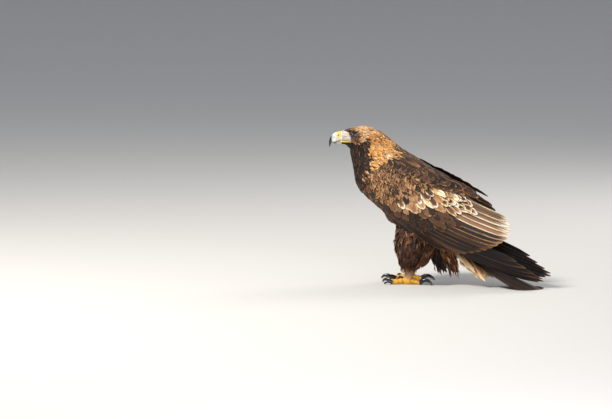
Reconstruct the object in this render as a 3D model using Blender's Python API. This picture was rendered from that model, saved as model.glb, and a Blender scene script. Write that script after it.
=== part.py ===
"""A golden eagle at life size, standing on a level floor with its tail tip laid on it.

The bird faces -X, its left side is towards -Y, and +Z is up. Lengths are in metres.
"""

import math
import random

import bmesh
import bpy
import numpy as np
from mathutils import Vector

GAP = 0.0003
FLAT = 0.0

# The trunk, neck and head follow one line of stations, from the tail root to the bill's base:
# x, y, z of the centre, pitch and yaw of the axis in degrees, reach up, reach down, half width.
TRUNK = [
    (0.158, 0.000, 0.140, 30, 0, 0.022, 0.020, 0.022),
    (0.140, 0.000, 0.152, 32, 0, 0.062, 0.036, 0.040),
    (0.095, 0.000, 0.185, 36, 0, 0.112, 0.060, 0.060),
    (0.036, 0.000, 0.233, 39, 0, 0.128, 0.078, 0.074),
    (-0.022, 0.000, 0.279, 40, 0, 0.121, 0.086, 0.080),
    (-0.078, 0.000, 0.324, 42, 0, 0.107, 0.092, 0.080),
    (-0.113, 0.000, 0.358, 50, 0, 0.096, 0.092, 0.073),
    (-0.134, -0.003, 0.390, 58, 4, 0.085, 0.074, 0.062),
    (-0.148, -0.011, 0.426, 64, 11, 0.068, 0.062, 0.050),
    (-0.162, -0.026, 0.450, 58, 19, 0.056, 0.050, 0.042),
]
NECK_STARTS = 6.6
HEAD_STARTS = 8.7
SPAN_SIDES = 22
NECK_SIDES = 16
TORSO_STEP, NECK_STEP = 0.6, 0.7

# Pointed hackles on the neck, in rows round it
HACKLE_ROWS = [8.42, 7.96, 7.50]
HACKLES_ROUND = 12
HACKLE_LENGTH = 0.046
LOCK_COVER = 0.84

# The head is drawn in its own frame: forward, up, and out to either side.
HEAD_YAW = math.radians(25)
HEAD_CENTRE = Vector((-0.154, -0.025, 0.456))
HEAD_STATIONS = [
    (0.0290, 0.0080, 42, 0.0440, 0.0430, 0.0370),
    (0.0500, 0.0085, 28, 0.0310, 0.0300, 0.0300),
    (0.0690, 0.0068, 12, 0.0236, 0.0230, 0.0205),
    (0.0816, 0.0058, 0, 0.0200, 0.0210, 0.0148),
]
EYE_FORWARD, EYE_UP, EYE_OUT = 0.0445, 0.0160, 0.0212
EYE_RADIUS = 0.0100
LID_RADIUS, LID_THICK, LID_OUT = 0.0083, 0.0014, 0.0060
LID_SIDES = 12

# Bill rings: forward and up of the ridge, forward and up of the cutting edge, half width.
CERE_RINGS = [
    (0.0000, 0.0246, 0.0000, -0.0058, 0.0128),
    (0.0060, 0.0240, 0.0065, -0.0072, 0.0120),
    (0.0125, 0.0222, 0.0120, -0.0084, 0.0108),
]
HORN_RINGS = [
    (0.0128, 0.0220, 0.0123, -0.0084, 0.0106),
    (0.0205, 0.0190, 0.0178, -0.0098, 0.0096),
    (0.0272, 0.0130, 0.0226, -0.0104, 0.0082),
    (0.0325, 0.0050, 0.0262, -0.0108, 0.0066),
    (0.0358, -0.0040, 0.0288, -0.0120, 0.0050),
    (0.0370, -0.0130, 0.0308, -0.0155, 0.0034),
    (0.0364, -0.0205, 0.0326, -0.0212, 0.0018),
    (0.0352, -0.0262, 0.0345, -0.0266, 0.0006),
]
JAW_RINGS = [
    (0.0000, -0.0148, 0.0000, -0.0064, 0.0105),
    (0.0095, -0.0156, 0.0100, -0.0084, 0.0090),
    (0.0170, -0.0154, 0.0175, -0.0102, 0.0066),
    (0.0222, -0.0136, 0.0226, -0.0110, 0.0030),
]
BILL_BASE = 0.0816
NOSTRIL_FORWARD, NOSTRIL_UP, NOSTRIL_OUT = 0.0068, 0.0120, 0.0112
GAPE_START, GAPE_LENGTH, GAPE_RADIUS = 0.0003, 0.0350, 0.0024
GAPE_UP, GAPE_FALL, GAPE_OUT, GAPE_WIDENS = -0.0072, 0.0010, 0.0128, 0.0150
# A bill ring's outline from the cutting edge to the ridge: share of the height, share of the width.
BILL_OUTLINE = [
    (0.00, 0.70),
    (0.10, 1.00),
    (0.32, 0.97),
    (0.55, 0.84),
    (0.75, 0.63),
    (0.91, 0.34),
    (1.00, 0.00),
]

# The folded wing is drawn flat, as s along it from the wrist and t across it, on a rounded shell.
LOCK_ROOM = 0.0075

# Each wing: x and z of the wrist, pitch there, pitch at the tip, and where the bend begins.
WING_LENGTH = 0.625
WING_LAY = {
    -1: (-0.103, 0.278, 34.5, 11.5, 0.05),
    1: (-0.106, 0.277, 35.0, 8.5, 0.05),
}
SHELL_CENTRE, SHELL_REACH = 0.060, 0.125
SHELL_DROP = [
    (-0.05, 0.64),
    (0.14, 0.66),
    (0.30, 0.78),
    (0.64, 0.80),
]
SHELL_HALF_WIDTH = [
    (-0.05, 0.082),
    (0.00, 0.102),
    (0.05, 0.113),
    (0.15, 0.115),
    (0.25, 0.107),
    (0.35, 0.092),
    (0.45, 0.074),
    (0.55, 0.058),
    (0.64, 0.047),
]
LOWER_EDGE = [
    (-0.046, 0.040),
    (-0.018, 0.012),
    (0.011, -0.003),
    (0.073, -0.016),
    (0.120, -0.027),
    (0.170, -0.030),
    (0.227, -0.020),
    (0.286, -0.003),
    (0.337, 0.008),
    (0.400, 0.009),
    (0.474, 0.004),
    (0.542, -0.004),
    (0.625, -0.010),
]
# The left wing's innermost quills reach further back than the right's.
UPPER_EDGE = {
    -1: [
        (-0.046, 0.072),
        (-0.030, 0.117),
        (0.048, 0.156),
        (0.127, 0.178),
        (0.196, 0.184),
        (0.263, 0.187),
        (0.355, 0.182),
        (0.410, 0.166),
        (0.455, 0.140),
        (0.494, 0.079),
        (0.542, 0.056),
        (0.625, 0.012),
    ],
    1: [
        (-0.046, 0.072),
        (-0.030, 0.117),
        (0.048, 0.160),
        (0.127, 0.180),
        (0.196, 0.184),
        (0.255, 0.180),
        (0.305, 0.166),
        (0.345, 0.142),
        (0.385, 0.084),
        (0.430, 0.066),
        (0.542, 0.040),
        (0.625, 0.012),
    ],
}

# Feathers of the wing. Heights are measured out from the shell, so the core lies below zero.
CORE_DEPTH, QUILL_DEPTH, ROOT_SUNK = 0.0040, 0.0136, 0.0045
WING_FRONT = -0.046
COVERT_CORE_END = {-1: 0.345, 1: 0.305}
QUILL_CORE_SPAN = (0.075, 0.400)
QUILL_FROM, QUILL_SLOPE = (0.090, -0.010), 0.7586
# Covert rows: first root, last root, count, length, width, turn in degrees, slope outward.
COVERT_ROWS = [
    ((-0.040, 0.052), (0.022, 0.124), 4, 0.056, 0.0330, -32, 0.130),
    ((-0.028, 0.030), (0.058, 0.128), 5, 0.062, 0.0325, -30, 0.130),
    ((-0.006, 0.014), (0.108, 0.133), 6, 0.068, 0.0320, -28, 0.130),
    ((0.024, 0.005), (0.160, 0.136), 6, 0.078, 0.0350, -24, 0.130),
    ((0.057, -0.005), (0.200, 0.112), 7, 0.100, 0.0250, -14, 0.118),
    ((-0.010, 0.134), (0.215, 0.172), 5, 0.110, 0.0380, -13, 0.095),
]
COVERT_ROLL = 0.075
# The folded secondaries and tertials, from the lowest up: how far along the wing each tip lies.
SECONDARY_TIPS = {
    -1: [0.344, 0.380, 0.410, 0.434, 0.452, 0.462, 0.454, 0.428],
    1: [0.344, 0.380, 0.402, 0.410, 0.404, 0.386, 0.360, 0.334],
}
SECONDARY_T = (-0.012, 0.154)
SECONDARY_RISE = 0.012
SECONDARY_WIDTH, SECONDARY_ROLL, SECONDARY_SLOPE = 0.0295, 0.086, 0.095
SECONDARY_LEVEL = -0.0016
TERTIAL_ROOT = 0.238
# The folded primaries, from the lowest up: where each tip lies.
PRIMARY_ROOT = (0.262, -0.003)
PRIMARY_TIPS = [
    (0.612, -0.009),
    (0.625, -0.002),
    (0.618, 0.007),
    (0.590, 0.017),
    (0.556, 0.029),
    (0.520, 0.043),
]
PRIMARY_TOP, PRIMARY_STEP, PRIMARY_ROLL = -0.0048, 0.0013, 0.055
PRIMARY_STAGGER = 0.012

# The tail
TAIL_ROOT_X, TAIL_ROOT_Z = 0.150, 0.150
TAIL_PITCH, TAIL_TIP_PITCH = 37.0, 16.0
TAIL_LENGTH = 0.335
TAIL_SPREAD = math.radians(10.0)
TAIL_FEATHERS = 12
TAIL_CORE, TAIL_FEATHER_ROOT = 0.085, 0.050
TAIL_THICK, TAIL_STEP, TAIL_TOP = 0.0007, 0.0011, -0.0040
TAIL_ROOF = 0.9
UNDERTAIL_ROWS = [(0.055, 0.120, 4), (0.025, 0.095, 3)]

# Each leg: where its foot's ball stands, and how the thigh leans.
LEFT_FOOT = Vector((0.008, -0.056, 0.0))
RIGHT_FOOT = Vector((-0.036, 0.056, 0.0))
FOOT_TURN = {"left": 6.0, "right": -8.0}
# Thigh stations: forward shift from the foot's ball, height, half length, half width.
THIGH = [
    (0.022, 0.225, 0.040, 0.018),
    (0.020, 0.185, 0.052, 0.027),
    (0.018, 0.150, 0.055, 0.032),
    (0.017, 0.118, 0.053, 0.034),
    (0.014, 0.090, 0.042, 0.029),
    (0.006, 0.066, 0.026, 0.021),
    (0.002, 0.054, 0.0165, 0.0150),
]
# Trouser rows: height of the roots, count round the thigh, length.
TROUSER_ROWS = [
    (0.130, 8, 0.054),
    (0.103, 7, 0.050),
    (0.077, 6, 0.042),
]
SHIN_TOP, SHIN_FOOT = 0.054, 0.0235
SHIN_RADIUS = 0.0125
# Toes: name, direction in degrees from straight ahead, length, radius, claw length.
TOES = [
    ("middle", 0, 0.058, 0.0080, 0.036),
    ("inner", 38, 0.044, 0.0085, 0.044),
    ("outer", -42, 0.046, 0.0075, 0.030),
    ("hind", 176, 0.036, 0.0090, 0.050),
]

CLAW_TURN = math.radians(105)

PLUMAGE = {
    "dark": (0.060, 0.036, 0.022),
    "brown": (0.130, 0.076, 0.042),
    "tan": (0.300, 0.185, 0.100),
    "golden": (0.430, 0.235, 0.085),
    "buff": (0.560, 0.430, 0.290),
}


def paint(obj, name, colour, roughness):
    material = bpy.data.materials.get(name)
    if material is None:
        material = bpy.data.materials.new(name)
        material.use_nodes = True
        shader = material.node_tree.nodes["Principled BSDF"]
        shader.inputs["Base Color"].default_value = (*colour, 1.0)
        shader.inputs["Roughness"].default_value = roughness
        shader.inputs["Metallic"].default_value = 0.0
    obj.data.materials.clear()
    obj.data.materials.append(material)


def new_object(name, points, faces):
    """A mesh object whose faces point out."""
    mesh = bpy.data.meshes.new(name)
    mesh.from_pydata([tuple(p) for p in points], [], faces)
    work = bmesh.new()
    work.from_mesh(mesh)
    bmesh.ops.recalc_face_normals(work, faces=work.faces)
    work.to_mesh(mesh)
    work.free()
    obj = bpy.data.objects.new(name, mesh)
    bpy.context.scene.collection.objects.link(obj)
    return obj


def lerp_table(table, x):
    """The value at x of a table of (x, value) rows, by a smooth curve through them."""
    xs = [row[0] for row in table]
    x = min(max(x, xs[0]), xs[-1])
    i = min(max(int(np.searchsorted(xs, x)) - 1, 0), len(xs) - 2)
    v = [row[1] for row in table]
    before = max(i - 1, 0)
    after = min(i + 2, len(xs) - 1)
    slope_a = (v[i + 1] - v[before]) / (xs[i + 1] - xs[before])
    slope_b = (v[after] - v[i]) / (xs[after] - xs[i])
    span = xs[i + 1] - xs[i]
    u = (x - xs[i]) / span
    return (
        (2 * u**3 - 3 * u**2 + 1) * v[i]
        + (u**3 - 2 * u**2 + u) * slope_a * span
        + (3 * u**2 - 2 * u**3) * v[i + 1]
        + (u**3 - u**2) * slope_b * span
    )


def station_at(rows, u):
    """The row of numbers at place u along a list of rows, by a smooth curve through them."""
    count = len(rows[0])
    return [lerp_table([(i, row[k]) for i, row in enumerate(rows)], u) for k in range(count)]


def skin_tube(name, rings):
    """A closed tube through rings of points, each end closed by a fan to its middle."""
    sides = len(rings[0])
    points = [p for ring in rings for p in ring]
    faces = []
    for r in range(len(rings) - 1):
        for k in range(sides):
            a = r * sides + k
            b = r * sides + (k + 1) % sides
            faces.append((a, b, b + sides))
            faces.append((a, b + sides, a + sides))
    for r in (0, len(rings) - 1):
        centre = len(points)
        points.append(sum((Vector(p) for p in rings[r]), Vector()) / sides)
        for k in range(sides):
            faces.append((r * sides + k, r * sides + (k + 1) % sides, centre))
    return new_object(name, points, faces)


def feather(point, root, tip, profile, roll=0.0, thick=0.0009):
    """A thin vane on a surface. point(a, b, height) gives the surface; root and tip are (a, b).

    Each row of profile is: share of the length, width there, height of the outer face.
    """
    run_a, run_b = tip[0] - root[0], tip[1] - root[1]
    length = math.hypot(run_a, run_b)
    across_a, across_b = -run_b / length, run_a / length
    points = []
    for share, width, height in profile:
        for reach, drop in ((-0.5, 0), (0.5, 0), (0.5, 1), (-0.5, 1)):
            out = reach * width
            a = root[0] + run_a * share + across_a * out
            b = root[1] + run_b * share + across_b * out
            points.append(point(a, b, height + roll * out - drop * thick))
    faces = [(0, 1, 2), (0, 2, 3)]
    last = 4 * (len(profile) - 1)
    faces += [(last, last + 1, last + 2), (last, last + 2, last + 3)]
    for i in range(0, last, 4):
        j = i + 4
        faces += [(i, i + 1, j + 1), (i, j + 1, j)]
        faces += [(i + 3, i + 2, j + 2), (i + 3, j + 2, j + 3)]
        faces += [(i, j, j + 3), (i, j + 3, i + 3)]
        faces += [(i + 1, j + 1, j + 2), (i + 1, j + 2, i + 2)]
    return new_object("feather", points, faces)


def lock_profile(width):
    """A flat lock that rises off the body and tapers to a point."""
    return [(0.0, width * 0.7, -0.0045), (0.45, width * 0.9, 0.0036), (1.0, width * 0.14, 0.0056)]


def join_all(obj, pieces):
    """Joins closed pieces onto obj in one union, and keeps the one body they make."""
    group = bpy.data.collections.new("pieces")
    for piece in pieces:
        group.objects.link(piece)
    modifier = obj.modifiers.new("join", "BOOLEAN")
    modifier.operation = "UNION"
    modifier.operand_type = "COLLECTION"
    modifier.collection = group
    modifier.solver = "EXACT"
    modifier.use_self = True
    bake_modifiers(obj)
    for piece in pieces:
        bpy.data.objects.remove(piece)
    bpy.data.collections.remove(group)
    keep_largest(obj)


def spread(first, last, count):
    """Evenly spaced values from first to last."""
    return [first + (last - first) * i / (count - 1) for i in range(count)]


def mix(a, b, share):
    """The point a share of the way from a to b."""
    return tuple(p + (q - p) * share for p, q in zip(a, b))


# The trunk line


def head_point(forward, up, out):
    """A point of the head's own frame: out is positive on the bird's right."""
    ahead = Vector((-math.cos(HEAD_YAW), -math.sin(HEAD_YAW), 0))
    right = Vector((-math.sin(HEAD_YAW), math.cos(HEAD_YAW), 0))
    return HEAD_CENTRE + ahead * forward + right * out + Vector((0, 0, up))


def trunk_rows():
    """TRUNK with the head's own stations after it, all as TRUNK's rows."""
    rows = list(TRUNK)
    for forward, up, pitch, above, below, half in HEAD_STATIONS:
        p = head_point(forward, up, 0)
        rows.append((p.x, p.y, p.z, pitch, math.degrees(HEAD_YAW), above, below, half))
    return rows


ROWS = trunk_rows()


def trunk_point(u, angle, grow=0.0):
    """A point of the trunk's surface: u counts stations, and angle is 90 degrees at the back."""
    x, y, z, pitch, yaw, above, below, half = station_at(ROWS, u)
    pitch, yaw = math.radians(pitch), math.radians(yaw)
    up = Vector(
        (
            math.sin(pitch) * math.cos(yaw),
            math.sin(pitch) * math.sin(yaw),
            math.cos(pitch),
        )
    )
    right = Vector((-math.sin(yaw), math.cos(yaw), 0))
    reach = above if math.sin(angle) > 0 else below
    p = (
        Vector((x, y, z))
        + up * (reach + grow) * math.sin(angle)
        + right * (half + grow) * math.cos(angle)
    )
    return p


def head_relief(p):
    """How far the head's surface stands out at p, for the brow, the eye's hollow and the cheek."""
    rel = p - HEAD_CENTRE
    forward = -rel.x * math.cos(HEAD_YAW) - rel.y * math.sin(HEAD_YAW)
    out = abs(-rel.x * math.sin(HEAD_YAW) + rel.y * math.cos(HEAD_YAW))
    bumps = [
        (0.056, 0.0265, 0.020, 0.0100, 0.0042, 0.0034),
        (0.040, 0.0285, 0.026, 0.0110, 0.0050, 0.0030),
        (0.046, 0.0160, 0.027, 0.0100, 0.0070, -0.0040),
        (0.066, 0.0110, 0.018, 0.0100, 0.0080, -0.0020),
        (0.034, -0.0080, 0.034, 0.0140, 0.0120, 0.0018),
    ]
    total = 0.0
    for f, u, o, wide, tall, height in bumps:
        q = ((forward - f) / wide) ** 2 + ((rel.z - u) / tall) ** 2 + ((out - o) / 0.014) ** 2
        total += height * math.exp(-q)
    return total


def trunk_rings(start, end, sides, step, relief=False, grow=0.0):
    count = max(2, round((end - start) / step) + 1)
    rings = []
    for i in range(count):
        u = start + (end - start) * i / (count - 1)
        centre = Vector(station_at(ROWS, u)[:3])
        ring = []
        for k in range(sides):
            p = trunk_point(u, 2 * math.pi * k / sides, grow)
            if relief:
                out = (p - centre).normalized()
                p += out * head_relief(p)
            ring.append(p)
        rings.append(ring)
    return rings


def shrink_end(rings, index, toward, distance):
    """Moves one end ring back along the tube, to leave the gap to the next node."""
    a = sum((Vector(p) for p in rings[index]), Vector()) / len(rings[index])
    b = sum((Vector(p) for p in rings[toward]), Vector()) / len(rings[toward])
    shift = (b - a).normalized() * distance
    rings[index] = [p + shift for p in rings[index]]


def make_torso():
    rings = trunk_rings(0, NECK_STARTS, SPAN_SIDES, TORSO_STEP)
    shrink_end(rings, -1, -2, GAP)
    return skin_tube("torso", rings)


def trunk_patch(u, angle):
    """Metres back along the trunk and metres round it, from the place at u and angle."""
    here = trunk_point(u, angle)
    per_u = (trunk_point(u - 0.1, angle) - here).length / 0.1
    per_angle = (trunk_point(u, angle + 0.05) - here).length / 0.05

    def point(back, around, height):
        return trunk_point(u - back / per_u, angle + around / per_angle, height)

    return point


def make_neck():
    rings = trunk_rings(NECK_STARTS, HEAD_STARTS, NECK_SIDES, NECK_STEP)
    shrink_end(rings, -1, -2, GAP)
    neck = skin_tube("neck", rings)
    rng = random.Random(7)
    locks = []
    for row, u in enumerate(HACKLE_ROWS):
        for k in range(HACKLES_ROUND):
            angle = 2 * math.pi * (k + 0.5 * (row % 2)) / HACKLES_ROUND
            length = HACKLE_LENGTH * rng.uniform(0.92, 1.08) * (0.86 + 0.14 * math.sin(angle))
            aside = rng.uniform(-0.003, 0.003)
            pitch = (trunk_point(u, angle + 0.05) - trunk_point(u, angle)).length / 0.05
            pitch *= 2 * math.pi / HACKLES_ROUND
            tip = (length, aside)
            profile = lock_profile(pitch * LOCK_COVER)
            locks.append(feather(trunk_patch(u, angle), (0, 0), tip, profile))
    join_all(neck, locks)
    return neck


def make_head():
    rings = trunk_rings(HEAD_STARTS, len(ROWS) - 1, SPAN_SIDES, 0.39, relief=True)
    return skin_tube("head", rings)


# Eyes and bill


def ball(name, centre, radius, rings=8, sides=12):
    mesh = bpy.data.meshes.new(name)
    work = bmesh.new()
    bmesh.ops.create_uvsphere(work, u_segments=sides, v_segments=rings, radius=radius)
    bmesh.ops.translate(work, verts=work.verts, vec=centre)
    bmesh.ops.triangulate(work, faces=work.faces)
    work.to_mesh(mesh)
    work.free()
    obj = bpy.data.objects.new(name, mesh)
    bpy.context.scene.collection.objects.link(obj)
    return obj


def apply_boolean(obj, other, operation, solver="EXACT"):
    """Cuts other from obj, or joins it on, and removes other."""
    modifier = obj.modifiers.new("bool", "BOOLEAN")
    modifier.operation = operation
    modifier.object = other
    modifier.solver = solver
    bake_modifiers(obj)
    bpy.data.objects.remove(other)


def bake_modifiers(obj):
    graph = bpy.context.evaluated_depsgraph_get()
    graph.update()
    mesh = bpy.data.meshes.new_from_object(obj.evaluated_get(graph))
    obj.modifiers.clear()
    old = obj.data
    obj.data = mesh
    bpy.data.meshes.remove(old)


def keep_largest(obj):
    """Keeps the closed surface that encloses the most, and drops every other."""
    work = bmesh.new()
    work.from_mesh(obj.data)
    bmesh.ops.triangulate(work, faces=work.faces)
    unseen = set(work.verts)
    best, best_size = None, -1.0
    while unseen:
        stack = [unseen.pop()]
        found = set(stack)
        while stack:
            for edge in stack.pop().link_edges:
                for v in edge.verts:
                    if v in unseen:
                        unseen.discard(v)
                        found.add(v)
                        stack.append(v)
        faces = {f for v in found for f in v.link_faces}
        size = abs(sum(f.verts[0].co.dot(f.verts[1].co.cross(f.verts[2].co)) for f in faces))
        if size > best_size:
            best, best_size = found, size
    drop = [v for v in work.verts if v not in best]
    bmesh.ops.delete(work, geom=drop, context="VERTS")
    work.to_mesh(obj.data)
    work.free()


def eye_place(side):
    return head_point(EYE_FORWARD, EYE_UP, side * EYE_OUT)


def make_lid(side):
    """The ring of skin round the eye."""
    look = head_point(EYE_FORWARD + 0.25, EYE_UP, side * (EYE_OUT + 1.0)) - eye_place(side)
    look.normalize()
    across = look.cross(Vector((0, 0, 1))).normalized()
    above = across.cross(look)
    middle = eye_place(side) + look * LID_OUT
    rings = []
    for i in range(LID_SIDES):
        turn = 2 * math.pi * i / LID_SIDES
        out = across * math.cos(turn) + above * math.sin(turn) * 0.88
        ring = []
        for k in range(5):
            roll = 2 * math.pi * k / 5
            reach = LID_RADIUS + LID_THICK * math.cos(roll)
            ring.append(middle + out * reach + look * LID_THICK * 1.3 * math.sin(roll))
        rings.append(ring)
    points = [p for ring in rings for p in ring]
    faces = []
    for i in range(LID_SIDES):
        for k in range(5):
            a, b = i * 5 + k, i * 5 + (k + 1) % 5
            c, d = (b + 5) % len(points), (a + 5) % len(points)
            faces.append((a, b, c))
            faces.append((a, c, d))
    return new_object("lid", points, faces)


def bill_tube(name, rings):
    """A tube through bill rings: each is widest by the cutting edge and rounded at the ridge."""
    outline = [(share, wide) for share, wide in BILL_OUTLINE]
    outline += [(share, -wide) for share, wide in reversed(BILL_OUTLINE[:-1])]
    made = []
    for ridge_f, ridge_u, edge_f, edge_u, half in rings:
        ring = []
        for share, wide in outline:
            forward = BILL_BASE + GAP + edge_f + (ridge_f - edge_f) * share
            ring.append(head_point(forward, edge_u + (ridge_u - edge_u) * share, half * wide))
        made.append(ring)
    return skin_tube(name, made)


def make_gape(side, grow=0.0):
    """The fleshy lip along the mouth, from the cere back to below the eye. grow makes its cutter."""
    shares = spread(0.0, 1.0, 5)
    if grow:
        shares = [-0.1, *shares, 1.01]
    rings = []
    for share in shares:
        forward = BILL_BASE - GAPE_START - share * GAPE_LENGTH
        up = GAPE_UP - GAPE_FALL * share
        out = side * (GAPE_OUT + GAPE_WIDENS * max(share, 0.0) ** 0.8)
        radius = GAPE_RADIUS * (1 - 0.45 * share) + grow
        ring = []
        for k in range(6):
            angle = 2 * math.pi * k / 6
            ring.append(
                head_point(
                    forward, up + radius * math.sin(angle), out + radius * math.cos(angle)
                )
            )
        rings.append(ring)
    return skin_tube("gape_" + ("right" if side > 0 else "left"), rings)


def make_nostril(side):
    """A slanting slot, to cut from the side of the cere."""
    middle = head_point(BILL_BASE + NOSTRIL_FORWARD, NOSTRIL_UP, side * NOSTRIL_OUT)
    slot = ball("nostril", Vector((0, 0, 0)), 1.0, 6, 10)
    ahead = head_point(1, 0, 0) - head_point(0, 0, 0)
    out = head_point(0, 0, side) - head_point(0, 0, 0)
    long = (ahead * 0.55 + Vector((0, 0, 0.83))).normalized()
    short = out.cross(long)
    for v in slot.data.vertices:
        x, y, z = v.co
        v.co = middle + long * x * 0.0030 + short * y * 0.0013 + out * z * 0.0030
    work = bmesh.new()
    work.from_mesh(slot.data)
    bmesh.ops.recalc_face_normals(work, faces=work.faces)
    work.to_mesh(slot.data)
    work.free()
    return slot


# The folded wings


def wing_axis(s, side):
    """x, z and pitch of the wing's line at s. It is straight at first and then lifts towards its tip."""
    x, z, start, end, straight = WING_LAY[side]
    start, end = math.radians(start), math.radians(end)
    first = min(s, straight)
    x += math.cos(start) * first
    z -= math.sin(start) * first
    if s <= straight:
        return x, z, start
    bend = (end - start) / (WING_LENGTH - straight)
    rest = s - straight
    pitch = start + bend * rest
    x += (math.sin(pitch) - math.sin(start)) / bend
    z += (math.cos(pitch) - math.cos(start)) / bend
    return x, z, pitch


def shell_depth(s, t):
    """How far the wing's outer face stands from the bird's middle plane."""
    q = (t - SHELL_CENTRE) / SHELL_REACH
    return lerp_table(SHELL_HALF_WIDTH, s) * (1 - lerp_table(SHELL_DROP, s) * q * q)


def wing_surface(s, t, side):
    x, z, pitch = wing_axis(s, side)
    return Vector(
        (
            x + t * math.sin(pitch),
            side * shell_depth(s, t),
            z + t * math.cos(pitch),
        )
    )


def wing_point(s, t, height, side):
    """A point on the wing's shell, raised by height along its outward normal."""
    p = wing_surface(s, t, side)
    ds = wing_surface(s + 0.002, t, side) - p
    dt = wing_surface(s, t + 0.002, side) - p
    normal = ds.cross(dt).normalized()
    if normal.y * side < 0:
        normal = -normal
    return p + normal * height


def slab(name, point, columns, rows, low, high, thick):
    """A closed slab over a patch: low and high give its edges, thick its depth under the face."""
    points = []
    for layer in (0, 1):
        for i in range(columns + 1):
            s = i / columns
            for j in range(rows + 1):
                t = j / rows
                points.append(point(s, low(s) + (high(s) - low(s)) * t, -layer * thick(s, t)))
    faces = []
    row = rows + 1
    under = (columns + 1) * row
    for i in range(columns):
        for j in range(rows):
            a = i * row + j
            b, c, d = a + row, a + row + 1, a + 1
            faces.append((a, b, c))
            faces.append((a, c, d))
            faces.append((a + under, c + under, b + under))
            faces.append((a + under, d + under, c + under))
    for i in range(columns):
        for j in (0, rows):
            a, b = i * row + j, (i + 1) * row + j
            faces.append((a, b, b + under))
            faces.append((a, b + under, a + under))
    for j in range(rows):
        for i in (0, columns):
            a, b = i * row + j, i * row + j + 1
            faces.append((a, b, b + under))
            faces.append((a, b + under, a + under))
    return new_object(name, points, faces)


def quill_line(s):
    """Where across the wing the flight feathers' roots lie at s. Coverts grow in front of it."""
    return QUILL_FROM[1] + (s - QUILL_FROM[0]) * QUILL_SLOPE


def make_covert_core(side):
    """The arm and hand under the coverts."""
    first, last = WING_FRONT, COVERT_CORE_END[side]

    def s_of(share):
        return first + (last - first) * share

    def point(share, t, height):
        return wing_point(s_of(share), t, height - CORE_DEPTH, side)

    def low(share):
        s = s_of(share)
        return max(lerp_table(LOWER_EDGE, s) + 0.003, quill_line(s - 0.015))

    def high(share):
        s = s_of(share)
        return max(lerp_table(UPPER_EDGE[side], s) - 0.004, low(share) + 0.003)

    def thick(share, across):
        middle = max(0.0, 1 - (2 * across - 1) ** 2)
        along = max(0.0, 1 - share * 0.9)
        return 0.005 + 0.012 * along + 0.020 * (1 - share) * middle**0.6

    return slab("wing_" + ("right" if side > 0 else "left"), point, 10, 5, low, high, thick)


def make_quill_core(side):
    """The thin layer that the flight feathers lie on and the outer ones grow from."""
    first, last = QUILL_CORE_SPAN

    def s_of(share):
        return first + (last - first) * share

    def point(share, t, height):
        return wing_point(s_of(share), t, height - QUILL_DEPTH, side)

    def low(share):
        return lerp_table(LOWER_EDGE, s_of(share)) + 0.007

    def high(share):
        s = s_of(share)
        line = min(quill_line(s + 0.020), lerp_table(UPPER_EDGE[side], s) - 0.010)
        return max(line, low(share) + 0.003)

    return slab("quill_core", point, 7, 3, low, high, lambda share, across: 0.006 - 0.003 * share)


def covert_profile(length, width, slope):
    """A rounded feather that rises evenly from its root, sunk in the core, to its tip."""
    root = -CORE_DEPTH - ROOT_SUNK
    shape = [(0.0, 0.60), (0.34, 0.96), (0.74, 0.94), (1.0, 0.24)]
    return [(share, width * wide, root + slope * length * share) for share, wide in shape]


def make_wing(side):
    wing = make_covert_core(side)
    rng = random.Random(12 + side)
    pieces = [make_quill_core(side)]

    def point(s, t, height):
        return wing_point(s, t, height, side)

    for start, end, count, length, width, turn, slope in COVERT_ROWS:
        turn = math.radians(turn)
        for share in spread(0, 1, count):
            s, t = mix(start, end, share)
            reach = length * rng.uniform(0.95, 1.05)
            lean = turn + math.radians(rng.uniform(-1.5, 1.5))
            tip = (s + reach * math.cos(lean), t + reach * math.sin(lean))
            profile = covert_profile(reach, width, slope)
            pieces.append(feather(point, (s, t), tip, profile, roll=-COVERT_ROLL))

    count = len(SECONDARY_TIPS[side])
    for i, tip_s in enumerate(SECONDARY_TIPS[side]):
        share = i / (count - 1)
        t = SECONDARY_T[0] + (SECONDARY_T[1] - SECONDARY_T[0]) * share
        s = min(QUILL_FROM[0] + (t - QUILL_FROM[1]) / QUILL_SLOPE, TERTIAL_ROOT)
        tip = (tip_s, t + SECONDARY_RISE * (1 - share))
        root = -CORE_DEPTH - ROOT_SUNK
        length = tip_s - s
        rise = min(0.5, (SECONDARY_LEVEL - root) / SECONDARY_SLOPE / length)
        middle = 0.5 + rise / 2
        width = SECONDARY_WIDTH
        profile = [
            (0.0, width * 0.7, root),
            (rise, width * 0.95, SECONDARY_LEVEL),
            (middle, width, SECONDARY_LEVEL),
            (max(1 - 0.022 / length, 0.5 + middle / 2), width * 0.86, SECONDARY_LEVEL + 0.0006),
            (1.0, width * 0.34, SECONDARY_LEVEL + 0.0008),
        ]
        pieces.append(feather(point, (s, t), tip, profile, roll=-SECONDARY_ROLL))

    for i, (tip_s, tip_t) in enumerate(PRIMARY_TIPS):
        level = PRIMARY_TOP - PRIMARY_STEP * (len(PRIMARY_TIPS) - 1 - i)
        root_s = PRIMARY_ROOT[0] - PRIMARY_STAGGER * i
        root_t = PRIMARY_ROOT[1] + 0.010 * i
        length = tip_s - root_s
        root = -QUILL_DEPTH - 0.003
        profile = [
            (0.0, 0.018, root),
            (0.040 / length, 0.021, level),
            (0.45, 0.025, level),
            (0.76, 0.024, level),
            (0.93, 0.016, level),
            (1.0, 0.004, level + 0.0002),
        ]
        tip = (tip_s, tip_t)
        pieces.append(feather(point, (root_s, root_t), tip, profile, roll=-PRIMARY_ROLL))

    join_all(wing, pieces)
    return wing


# The tail


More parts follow.
